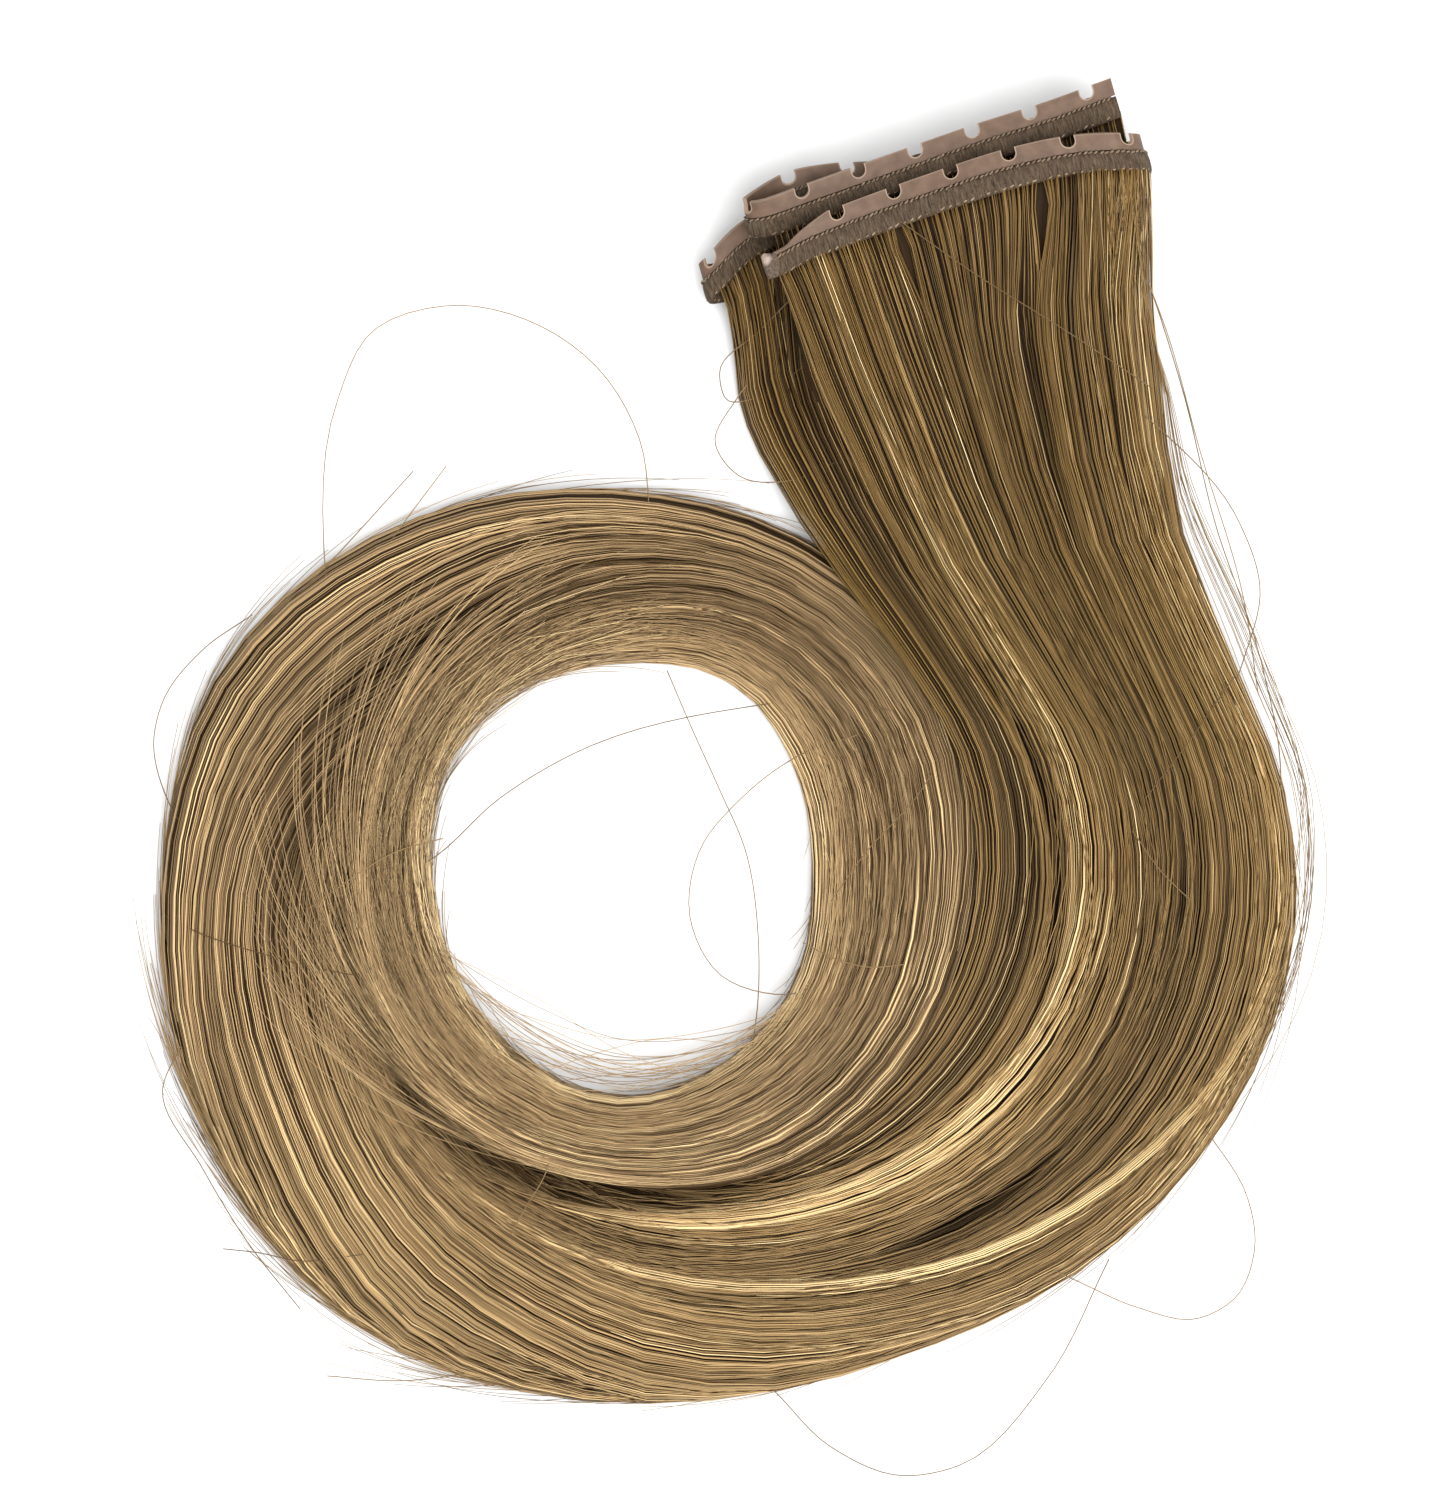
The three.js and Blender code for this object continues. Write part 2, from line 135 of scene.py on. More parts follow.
# Tresses from the inner edge outwards, the crossing lock last: run, root along it, root width, lanes across
# the flow at LANE_STOPS, width share, rise on the fall and on the ring, angle where it has risen, tip angle,
# strands, tones at TONE_STOPS. The tones hold the hair's own lighter and darker locks together with painted
# highlight and painted shade: the golden lock's bright stretch on the right bend is partly a painted highlight,
# and the darker tones in the valleys and where tresses lie beside and under the fall are painted shade
LANE_STOPS = (-58, 6, 40, 80, 110, 140, 180, 225)
TONE_STOPS = (-58, 10, 45, 90, 130, 190, 250, 315, 370, 460)
Tress = namedtuple("Tress", "run root width lanes share fall ring risen tip strands tones")
TRESSES = [
    Tress("fourth", -26.5, 7.6, (.06, .05, .04, .03, .02, .02, .02, .02), .16, .84, .94, 110, 590, 90,
          (-.02, .00, -.06, -.30, -.30, -.05, .10, .20, .24, .14)),
    Tress("fourth", -20.0, 7.0, (.16, .15, .12, .08, .05, .04, .03, .03), .14, .80, .92, 110, 612, 66,
          (-.34, -.10, .06, -.25, -.25, -.10, .08, .18, .20, .12)),
    Tress("top", -19.2, 7.8, (.26, .26, .22, .13, .08, .05, .04, .04), .14, 1.04, .90, 110, 600, 66,
          (.14, .10, .25, .05, -.15, -.10, .05, .14, .16, .10)),
    Tress("top", -14.5, 6.8, (.345, .37, .32, .19, .11, .07, .05, .05), .11, 1.10, .88, 110, 585, 66,
          (.14, .58, 1.10, .68, .00, -.10, .00, .04, .01, .12)),
    Tress("top", -9.7, 8.3, (.43, .46, .41, .27, .15, .09, .06, .06), .14, 1.04, .90, 110, 606, 66,
          (.08, .14, .38, .06, -.18, -.10, -.05, -.06, -.06, .06)),
    Tress("top", -3.5, 11.0, (.52, .53, .49, .34, .19, .11, .07, .07), .14, .95, .92, 110, 572, 72,
          (.04, -.02, .04, -.18, -.24, -.15, -.10, -.16, -.14, -.02)),
    Tress("top", 4.6, 11.0, (.61, .60, .56, .40, .22, .12, .08, .08), .13, .86, .94, 110, 560, 72,
          (-.02, -.14, .02, -.16, -.20, -.20, -.15, -.24, -.20, -.04)),
    Tress("top", 11.4, 9.0, (.70, .69, .66, .46, .25, .14, .09, .09), .13, .92, .96, 110, 566, 66,
          (.02, -.06, -.16, -.16, -.16, -.20, -.20, -.28, -.22, -.06)),
    Tress("top", 16.9, 7.0, (.79, .78, .75, .52, .28, .16, .10, .10), .14, 1.00, .98, 110, 548, 64,
          (.08, .14, .02, -.06, -.10, -.18, -.24, -.30, -.22, -.02)),
    Tress("top", 20.8, 6.6, (.88, .88, .85, .58, .32, .18, .12, .12), .14, 1.00, 1.00, 110, 536, 64,
          (.18, .30, .14, .06, .00, -.14, -.22, -.30, -.22, .00)),
    Tress("wrap", 24.4, 3.4, (.95, .95, .94, .66, .38, .22, .15, .15), .14, .98, 1.01, 110, 522, 64,
          (.20, .36, .20, .20, .12, -.10, -.20, -.36, -.28, .00)),
    Tress("bottom", 17.0, 7.0, (.93, .95, .97, .77, .47, .28, .20, .11), .14, .80, 1.02, 110, 510, 62,
          (.14, .28, .24, .22, .20, -.14, -.22, -.36, -.28, .00)),
    Tress("bottom", 5.0, 7.0, (.85, .90, .96, .88, .58, .37, .29, .15), .16, .60, 1.02, 110, 516, 62,
          (.00, .08, .20, .22, .32, -.22, -.26, -.34, -.28, .00)),
    Tress("third", 15.0, 7.0, (.70, .80, .94, .96, .70, .48, .40, .21), .18, .50, 1.02, 120, 508, 66,
          (.00, .00, .12, .18, .34, -.28, -.24, -.32, -.28, .00)),
    Tress("bottom", -8.0, 7.0, (.60, .72, .90, .98, .83, .60, .53, .30), .22, .45, 1.00, 130, 502, 70,
          (.00, .00, .10, .12, .30, -.16, -.18, -.30, -.28, .00)),
    Tress("third", 4.0, 7.0, (.50, .64, .86, .96, .95, .73, .66, .46), .24, .40, 1.00, 145, 504, 72,
          (.00, .00, .00, .00, .16, .04, .04, -.24, -.28, .00)),
    Tress("bottom", -18.0, 7.0, (.40, .54, .80, .94, .98, .87, .79, .66), .24, .35, .99, 160, 500, 72,
          (.00, .00, .00, .00, .12, .14, .20, -.20, -.28, .00)),
    Tress("third", -8.0, 7.0, (.30, .46, .72, .90, .97, .96, .92, .86), .24, .30, .96, 175, 498, 70,
          (.00, .00, .00, .00, .10, .16, .26, -.16, -.28, .00)),
    Tress("wrap", 24.0, 2.4, (.92, .96, .77, .45, .27, .15, .10, .10), .08, 1.12, 1.02, 110, 580, 36,
          (.10, .25, .80, .60, .05, -.10, .00, .00, .00, .10)),
]

# Form of a tress: how round it is, span over which it rises, how far aside strands lie, lowest hair,
# and its sways, each with size in lanes, waves and phase, which grow over the first degrees of the fall
TRESS_ROUND = 0.1
RISE_SPAN = 80
ASIDE_LIMIT = 1.3
TRESS_REACH = 1.2
LOWEST_HAIR = 0.2
SWAYS = ((0.012, 1.3, 1), (0.008, 2.9, 2))
SWAY_EASE = 60
LANE_LIMITS = (0.004, 0.996)

# The second turn, where the tresses lie side by side in their order: angles of its lanes, lanes of the first
# and last tress, shares of the old and the new lane as it begins, how much the tresses narrow
LATE_STOPS = (270, 360, 450, 540)
INNER_LATE = 0.05
OUTER_LATE = 0.92
LATE_MIX = (0.45, 0.55)
LATE_NARROWING = 0.4
SECOND_TURN_FROM = 310
SECOND_TURN_FULL = 375
# Angles from which the second turn lies on the first, and up to which the fall lies on the second turn
LIES_ON_FIRST = 420
FALL_LIES_UNTIL = 14
LAYER_RISE = 1.3
# Streaks across it: width of each in millimetres, its strength, degrees over which it drifts by a width
STREAKS = ((0.55, .38, 700), (0.8, .46, 900), (1.25, .48, -800), (2.1, .40, 1100), (3.6, .26, -1300))
STREAK_PHASE = 9

# Strands in locks and clumps. Drifts and lifts: size, slowest and quickest wave in degrees
LOCK = 12
CLUMP = 3
STRAND_RADIUS = 0.087
RADIUS_RANGE = (0.8, 1.2)
STRAND_TAPER = ((0, 0.8, 1), (1, 0.9, 0.35))
STRAND_DEPTH = 1.6
DEPTH_CURVE = 1.2
STRAND_LOWEST = 0.12
SPREAD_JITTER = 0.05
CLUMP_TIPS = 20
STRAND_TIPS = 10
LOCK_DRIFT = (0.10, 520, 200)
CLUMP_DRIFT = (0.07, 420, 150)
STRAND_DRIFT = (0.06, 420, 130)
LOCK_LIFT = (0.25, 420, 150)
STRAND_LIFT = (0.35, 160, 60)
DRIFT_MIX = (0.65, 0.35)
DRIFT_EASE = 70

# Tones from 0, the darkest hair, to 1, the lightest. Past 1 the hair is golden
TONE_MIDDLE = 0.4
LOCK_TONE = 0.07
CLUMP_TONE = 0.11
STRAND_TONE = 0.33
# Painted shade and light by depth: strands below MIDDLE_DEPTH are darkened, strands above it lightened
DEPTH_PAINTED_SHADE = 0.4
MIDDLE_DEPTH = 0.4
LATE_CONTRAST = 0.9
LOCK_TONE_DRIFT = (0.1, 400, 130)
STRAND_TONE_DRIFT = (0.2, 140, 45)
TONE_LIMITS = (0.02, 1.6)
TONE_FADE = 4
HOLLOW_SHADE = 0.22

# Wisps and single strays that cross the tresses: drift in lanes and lift, then what both share
WISPS = 12
STRANDS_PER_WISP = 4
WISP_DRIFT = 0.09
WISP_LIFT = 0.25
STRAYS = 60
STRAY_DRIFT = 0.16
STRAY_LIFT = 0.5
STRAY_RADIUS = 0.055
STRAY_TONE = 0.15
FOLLOWED_TRESSES = (2, 12)
CROSSING_TIPS = (500, 635)
CROSSING_WAVES = (520, 180)
CROSSING_SPREAD = 0.008
CROSSING_WAVER = (0.012, 200, 60)
CROSSING_SINK = -0.1
CROSSING_LOWEST = 0.15
CROSSING_TONE = 0.06
WISP_TONE = 0.12
WISP_STRAND_TONE = 0.14
CROSSING_TONE_LIMITS = (0.05, 1.5)

# Tips: where the strands part, the shortest, how far they leave the ring in lanes
FAN_START = 466
SHORTEST_TIP = 478
FAN_LEAST = 20
FAN_REACH = (45, 95)
FAN_FULL = 70
FAN_GROWTH = 1.5
FAN_CURVE = 1.8
TRESS_FAN = (-0.1, 0.55)
CROSSING_FAN = (0, 0.9)
# Fanned tips: first and last value of each row of wisps for the tip angle, the lane and the reach outwards
TIP_WISPS = 20
STRANDS_PER_TIP_WISP = 5
TIP_ANGLES = (524, 626)
TIP_LANES = (0.92, 0.6)
TIP_REACHES = (0.8, 0.4)
TIP_LANE_LIMITS = (0.004, 0.98)
TIP_RADIUS = 0.066
TIP_JITTER = 5
TIP_LENGTH = 150
TIP_FANS_OVER = 60
TIP_FAN_CURVE = 1.5
TIP_SINKS_OVER = 40
TIP_SINK = 1.6
TIP_WAVER = (0.03, 300, 90)
TIP_WISP_REACH = 0.2
TIP_STRAND_REACH = 0.1
TIP_LIFT = (0.4, 1.3)
TIP_TONE = -0.12
TIP_STRAND_TONE = 0.24
TIP_LIGHT = 0.65
TIP_TONE_LIMITS = (0.05, 1.1)
TIP_CONTROL = 24
TIP_RINGS = 47

# Roots: pitch of the stitches and how loosely they gather the strands, tuck under the band, how straight and
# how far the strands leave it, shares of the way to the fall
ROOT_PITCH = 0.68
STITCH_SLACK = 0.65
ROOT_TUCK = 0.6
ROOT_OUT = 0.5
CROSSING_ROOT_OUT = (0.2, 0.5)
STRAIGHT = 0.6
ROOT_REACH = 0.38
ROOT_SHARES = (0.14, 0.42, 0.72)
ROOT_POINTS = 1 + len(ROOT_SHARES)
ROOT_POINT_ANGLES = (-94.0, -90.0, -79.0, -68.0)
# Lanes at the start of the fall and the places on the top run that they hang from
ROOT_LANES = (0.175, 0.485, 0.70, 1.0)
ROOT_PLACES = (-23.4, -6.6, 12.8, 24.0)
# Partings under the top run: place along it, half opening, half length of root row that is pushed aside
PARTINGS = [(-6.4, 0.65, 1.4), (12.3, 0.85, 1.4)]
PARTING_AT_BAND = 0.35

# Control points, and rings of the strands: first and last angle and step, finer on the right bend. They are the
# same on all strands up to where the tips part
SHARED_POINTS = 37
TIP_POINTS = 8
ROOT_STOPS = (0, 0.5, 1, 1.6, 2.2, 2.8, 3.4)
RING_STEPS = ((FALL_START, -34, 8.0), (-34, 66, 5.0), (66, 300, 7.0))
LATE_RINGS = 21
SHARED_STEP = (FAN_START - FALL_START) / (SHARED_POINTS - 1)
SHARED_RINGS = np.concatenate([np.arange(*steps) for steps in RING_STEPS]
                              + [np.linspace(RING_STEPS[-1][1], FAN_START, LATE_RINGS, endpoint=False)])
RING_STOPS = np.concatenate([ROOT_STOPS, ROOT_POINTS + (SHARED_RINGS - FALL_START) / SHARED_STEP,
                             ROOT_POINTS + SHARED_POINTS - 1 + np.linspace(0, TIP_POINTS, TIP_POINTS + 1)])

# Hollows between locks: first and last angle, lane at each, half width in lanes, drop, share that strands are
# pushed aside. The drop also darkens the hair there by HOLLOW_SHADE, as painted shade
HOLLOWS = [
    (26, 60, .60, .565, .040, 3.2, .95),
    (316, 352, .32, .48, .040, 2.6, .85),
    (50, 170, .095, .08, .060, 5.0, .95),
    (-70, -36, .69, .66, .028, 2.0, .7),
    (-34, 34, .62, .62, .060, 1.0, .1),
    (-66, 36, .17, .30, .018, 2.4, .75),
    (150, 300, .36, .50, .120, 1.8, .1),
    (488, 590, .28, .30, .035, 1.8, .8),
    (-52, 6, .00, .02, .060, 1.2, .0),
    (292, 366, .88, .92, .140, 0.9, .0),
]
HOLLOW_STEEPNESS = 3

# Hair of the lower layers: run, first and last root, their lanes, heights at the first three flow sections
Layer = namedtuple("Layer", "run first last inner outer heights")
LAYERS = [
    Layer("second", -20.5, 24.0, .22, .97, (6.6, 5.6, 5.0)),
    Layer("third", -20.5, 21.4, .22, .95, (5.5, 4.6, 4.0)),
    Layer("fourth", -29.0, 21.4, .03, .95, (4.4, 3.6, 3.0)),
    Layer("bottom", -27.5, 21.0, .06, .95, (3.3, 2.6, 2.0)),
    Layer("wrap", 21.8, 25.6, .84, .94, (6.0, 4.2, 3.0)),
]
LAYER_STRANDS = 92
LAYER_RINGS = 13
LAYER_SINK = 2.2
LAYER_LOWEST = 0.6
LAYER_MARGIN = 0.6
LAYER_JITTER = 0.12
LAYER_OUT = (-0.1, 0.5)
LAYER_TONE = 0.5
LAYER_STRAND_TONE = 0.17
LAYER_TONE_LIMITS = (0.02, 1)
# Their shade under the upper layers, which fades towards both open ends and begins below the band
LAYER_SHADE = 0.5
LEFT_FADE = 8
LEFT_OPEN = 0.5
RIGHT_FADE = 5
RIGHT_OPEN = 0.3
SHADE_FROM = 0.4
LAYER_COLOUR_END = 0.08
# The sheet under each layer, dark as painted shade: lines across, margin, place out of the band, half thickness
SHEET_LINES = 30
SHEET_MARGIN = 0.4
SHEET_OUT = -0.45
SHEET_HALF = 0.25

# Bundle inside the hair, darkened as painted shade, so that no floor shows between its strands
BUNDLE_LANES = np.linspace(0.02, 0.98, 41)
BUNDLE_STEP = 5.0
BUNDLE_THINS_FROM = 500
BUNDLE_END = 600
BUNDLE_MIDDLE = 0.42
BUNDLE_THINNING = 0.55
BUNDLE_DEPTH = 0.85 * STRAND_DEPTH
BUNDLE_END_SINK = 1.2
BUNDLE_LOWEST = 0.3
BUNDLE_FLOOR = 0.1
BUNDLE_OUT = -0.2
BUNDLE_BEHIND = (-29.8, -19.5)
BUNDLE_ROOT_DROPS = (0.35, 0.6, 0.7, 0.8)
BUNDLE_ROOT_TOP = 0.4
BUNDLE_ROOT_BOTTOM = 1.6
BUNDLE_ROOT_RINGS = 13
BUNDLE_ANGLES = np.arange(FALL_START, BUNDLE_END + 1, BUNDLE_STEP)
BUNDLE_TONE = 0.3
BUNDLE_SHADE = 0.12
BUNDLE_MAP_WIDTH = 0.8

# Studio, in metres: floor and its two tones, light from all round, lamps by place, size and power
FLOOR_SIZE = 6
FLOOR_TONES = (.62, .63)
WORLD_LIGHT = 1.0
LAMPS = (("key", (0.42, -0.36, 0.95), 1.1, 23.0), ("fill", (-0.6, 0.6, 0.9), 1.0, 6.0))

# The photograph's frame at the hair
FRAME_MIDDLE = (-1.06, -0.075)
FRAME_HEIGHT = 185.75
CAMERA_HEIGHT = 800
HAIR_MIDDLE_HEIGHT = 6
SENSOR = 36


def through_rows(rows, shares):
    """A smooth curve through the rows, evaluated at shares from 0 to 1."""
    rows = np.asarray(rows, float)
    padded = np.vstack([2 * rows[0] - rows[1], rows, 2 * rows[-1] - rows[-2]])
    spot = np.asarray(shares) * (len(rows) - 1)
    index = np.minimum(spot.astype(int), len(rows) - 2)
    part = (spot - index)[:, None]
    p0, p1, p2, p3 = (padded[index + step] for step in range(4))
    gap = [np.sqrt(np.linalg.norm(b - a, axis=1))[:, None] for a, b in ((p0, p1), (p1, p2), (p2, p3))]
    middle = np.where(gap[1] < 1e-4, 1, gap[1])
    first = np.where(gap[0] < 1e-4, middle, gap[0])
    last = np.where(gap[2] < 1e-4, middle, gap[2])
    leave = ((p1 - p0) / first - (p2 - p0) / (first + middle) + (p2 - p1) / middle) * middle
    arrive = ((p2 - p1) / middle - (p3 - p1) / (middle + last) + (p3 - p2) / last) * middle
    bend = -3 * p1 + 3 * p2 - 2 * leave - arrive
    turn = 2 * p1 - 2 * p2 + leave + arrive
    return p1 + part * (leave + part * (bend + part * turn))


def ease_between(stops, values, at):
    """Values at stops joined by a smooth curve, one or several columns."""
    stops = np.asarray(stops, float)
    values = np.asarray(values, float)
    slopes = np.gradient(values, stops, axis=0)
    at = np.clip(at, stops[0], stops[-1])
    index = np.clip(np.searchsorted(stops, at, side="right") - 1, 0, len(stops) - 2)
    span = stops[index + 1] - stops[index]
    part = (at - stops[index]) / span
    if values.ndim > 1:
        span, part = span[..., None], part[..., None]
    v0, v1, s0, s1 = values[index], values[index + 1], slopes[index] * span, slopes[index + 1] * span
    square, cube = part * part, part * part * part
    return (v0 * (2 * cube - 3 * square + 1) + s0 * (cube - 2 * square + part)
            + v1 * (3 * square - 2 * cube) + s1 * (cube - square))


# The folded strip as dense tables over its length
def strip_tables():
    """Its line before it is placed, lengths along it, and in place its seam, run, rise, face and way down."""
    shares = np.linspace(0, 1, (len(STRIP) - 1) * ROW_STEPS + 1)
    angle = math.radians(WEFT_TURN_DEG)
    turn = np.array([[math.cos(angle), -math.sin(angle), 0], [math.sin(angle), math.cos(angle), 0], [0, 0, 1]])
    line = through_rows(STRIP[:, :3], shares)
    lengths = np.concatenate([[0], np.cumsum(np.linalg.norm(np.diff(line, axis=0), axis=1))])
    tilt = np.radians(through_rows(np.pad(STRIP[:, 3:], ((0, 0), (0, 2))), shares)[:, 0])
    run = np.gradient(line, shares, axis=0)
    run /= np.linalg.norm(run, axis=1)[:, None]
    rise = np.stack([np.zeros_like(tilt), np.cos(tilt), np.sin(tilt)], axis=1)
    face = np.cross(run, rise)
    face /= np.linalg.norm(face, axis=1)[:, None]
    below = np.stack([run[:, 0] * run[:, 1], -np.ones(len(run)), np.zeros(len(run))], axis=1)
    below /= np.linalg.norm(below, axis=1)[:, None]
    seam = line @ turn.T + np.array([WEFT_X, WEFT_Y, 0])
    return [line, lengths, seam] + [way @ turn.T for way in (run, rise, face, below)]


LINE, LENGTHS, SEAM, RUN, RISE, FACE, BELOW = strip_tables()
STRIP_LENGTH = LENGTHS[-1]


def along_strip(table, at):
    return np.stack([np.interp(at, LENGTHS, table[:, axis]) for axis in range(3)], axis=-1)


def folded(flat):
    """Points of the strip laid flat (length, height, out of the face), folded into place."""
    at = np.clip(flat[:, 0], 0, STRIP_LENGTH)
    place = along_strip(SEAM, at) + along_strip(RUN, at) * (flat[:, 0] - at)[:, None]
    return place + along_strip(RISE, at) * flat[:, 1:2] + along_strip(FACE, at) * flat[:, 2:3]


def length_at(run_name, along):
    """Length along the strip of a place on one of its runs."""
    first, last = RUNS[run_name]
    inside = slice(first * ROW_STEPS, last * ROW_STEPS + 1)
    places, lengths = LINE[inside, 0], LENGTHS[inside]
    order = np.argsort(places)
    return np.interp(along, places[order], lengths[order])


# Making and joining meshes
def nothing_selected():
    if bpy.context.object and bpy.context.object.mode != "OBJECT":
        bpy.ops.object.mode_set(mode="OBJECT")
    bpy.ops.object.select_all(action="DESELECT")


def points_of(piece):
    points = np.empty(len(piece.data.vertices) * 3)
    piece.data.vertices.foreach_get("co", points)
    return points.reshape(-1, 3)


def lay(piece, points):
    piece.data.vertices.foreach_set("co", (points * MM).ravel())
    piece.data.update()


def corners_of(mesh):
    corners = np.empty(len(mesh.loops), np.int32)
    mesh.loops.foreach_get("vertex_index", corners)
    return corners


def add_map(mesh, name, values):
    layer = mesh.uv_layers.new(name=name)
    layer.data.foreach_set("uv", np.ascontiguousarray(values, np.float32).ravel())


def store_on_points(mesh, name, values):
    store = mesh.attributes.new(name, "FLOAT", "POINT")
    store.data.foreach_set("value", np.ascontiguousarray(values, np.float32))


def map_flat(piece, flat):
    """Gives a piece of the strip one map, its place on the strip laid flat."""
    while piece.data.uv_layers:
        piece.data.uv_layers.remove(piece.data.uv_layers[0])
    add_map(piece.data, "Flat", flat[corners_of(piece.data), :2])


def new_piece(name, points, faces):
    mesh = bpy.data.meshes.new(name)
    mesh.from_pydata(points * MM, [], faces)
    mesh.update()
    piece = bpy.data.objects.new(name, mesh)
    bpy.context.scene.collection.objects.link(piece)
    return piece


def apply_modifier(piece, kind, **settings):
    modifier = piece.modifiers.new(kind.lower(), kind)
    for key, value in settings.items():
        setattr(modifier, key, value)
    bpy.context.view_layer.objects.active = piece
    bpy.ops.object.modifier_apply(modifier=modifier.name)


def finish_piece(piece, material, slot, *nodes):
    piece.data.materials.clear()
    piece.data.materials.append(material)
    piece.data.shade_smooth()
    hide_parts(*nodes)
    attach(piece, "root")


# Materials
class Finish:
    """A named material whose nodes are added one by one."""

    def __init__(self, name, **constants):
        self.material = bpy.data.materials.new(name)
        self.material.use_nodes = True
        self.tree = self.material.node_tree
        self.shader = self.tree.nodes["Principled BSDF"]
        for socket, value in constants.items():
            self.shader.inputs[socket.replace("_", " ")].default_value = value

    def node(self, kind, inputs=None, **settings):
        node = self.tree.nodes.new(kind)
        for key, value in settings.items():
            setattr(node, key, value)
        for key, value in (inputs or {}).items():
            if isinstance(value, bpy.types.NodeSocket):
                self.tree.links.new(value, node.inputs[key])
            else:
                node.inputs[key].default_value = value
        return node

    def math(self, operation, first, second=0.0, third=0.0):
        node = self.node("ShaderNodeMath", {0: first, 1: second, 2: third}, operation=operation)
        return node.outputs[0]

    def ramp(self, value, stops):
        node = self.node("ShaderNodeValToRGB", {"Fac": value})
        marks = node.color_ramp.elements
        while len(marks) < len(stops):
            marks.new(0.5)
        for mark, (place, colour) in zip(marks, stops):
            mark.position = place
            mark.color = (*colour, 1)
        return node.outputs["Color"]

    def mix(self, share, first, second, blend="MIX"):
        node = self.node("ShaderNodeMix", data_type="RGBA", blend_type=blend)
        for socket, value in ((node.inputs[0], share), (node.inputs[6], first), (node.inputs[7], second)):
            if isinstance(value, bpy.types.NodeSocket):
                self.tree.links.new(value, socket)
            elif socket.type == "RGBA":
                socket.default_value = (*value, 1)
            else:
                socket.default_value = value
        return node.outputs[2]

    def link(self, output, socket):
        self.tree.links.new(output, self.shader.inputs[socket])

    def bump(self, height, strength, distance):
        node = self.node("ShaderNodeBump", {"Height": height, "Strength": strength, "Distance": distance})
        self.link(node.outputs["Normal"], "Normal")


# Hair colour from root to tip, darkest and lightest strands
DARK_HAIR = [(0, (.022, .009, .002)), (.10, (.030, .013, .003)), (.16, (.036, .016, .004)),
             (.26, (.054, .027, .008)), (.40, (.070, .036, .012)), (1, (.080, .042, .015))]
LIGHT_HAIR = [(0, (.235, .134, .038)), (.10, (.300, .178, .056)), (.16, (.360, .224, .086)),
              (.26, (.490, .325, .150)), (.40, (.540, .364, .182)), (1, (.555, .382, .196))]
GOLD_HAIR = (.86, .67, .36)
GOLD_FROM, GOLD_TO = 0.95, 1.6


def hair_colour(finish):
    tone = finish.node("ShaderNodeAttribute", attribute_name="tone").outputs["Fac"]
    along = finish.node("ShaderNodeAttribute", attribute_name="along").outputs["Fac"]
    plain = finish.mix(tone, finish.ramp(along, DARK_HAIR), finish.ramp(along, LIGHT_HAIR))
    golden = finish.node("ShaderNodeMapRange", {0: tone, 1: GOLD_FROM, 2: GOLD_TO, 3: 0.0, 4: 1.0}).outputs[0]
    return finish.mix(golden, plain, GOLD_HAIR)


def strand_finish_made():
    finish = Finish("hair_strands", Roughness=0.3, Specular_IOR_Level=0.4, Specular_Tint=(1.0, 0.85, 0.58, 1))
    finish.link(hair_colour(finish), "Base Color")
    return finish.material


def painted_shade_finish_made():
    finish = Finish("hair_underneath_painted_shade", Roughness=0.7, Specular_IOR_Level=0.1)
    place = finish.node("ShaderNodeUVMap", uv_map="Flow").outputs["UV"]
    stretch = finish.node("ShaderNodeMapping", {"Vector": place, "Scale": (1, 0.02, 1)})
    streak = finish.node("ShaderNodeTexNoise", {"Vector": stretch.outputs[0], "Scale": 3.2,
                                                "Detail": 4.0}).outputs["Fac"]
    # Painted shade: the hair colour is multiplied down by a dark streaked ramp, so the hair beneath the strands
    # reads as hair in shade
    shade = finish.ramp(streak, [(.32, (.08, .065, .05)), (.72, (.36, .33, .30))])
    finish.link(finish.mix(1.0, hair_colour(finish), shade, "MULTIPLY"), "Base Color")
    finish.bump(streak, 0.6, 0.0006)
    return finish.material


strand_finish = strand_finish_made()
painted_shade_finish = painted_shade_finish_made()


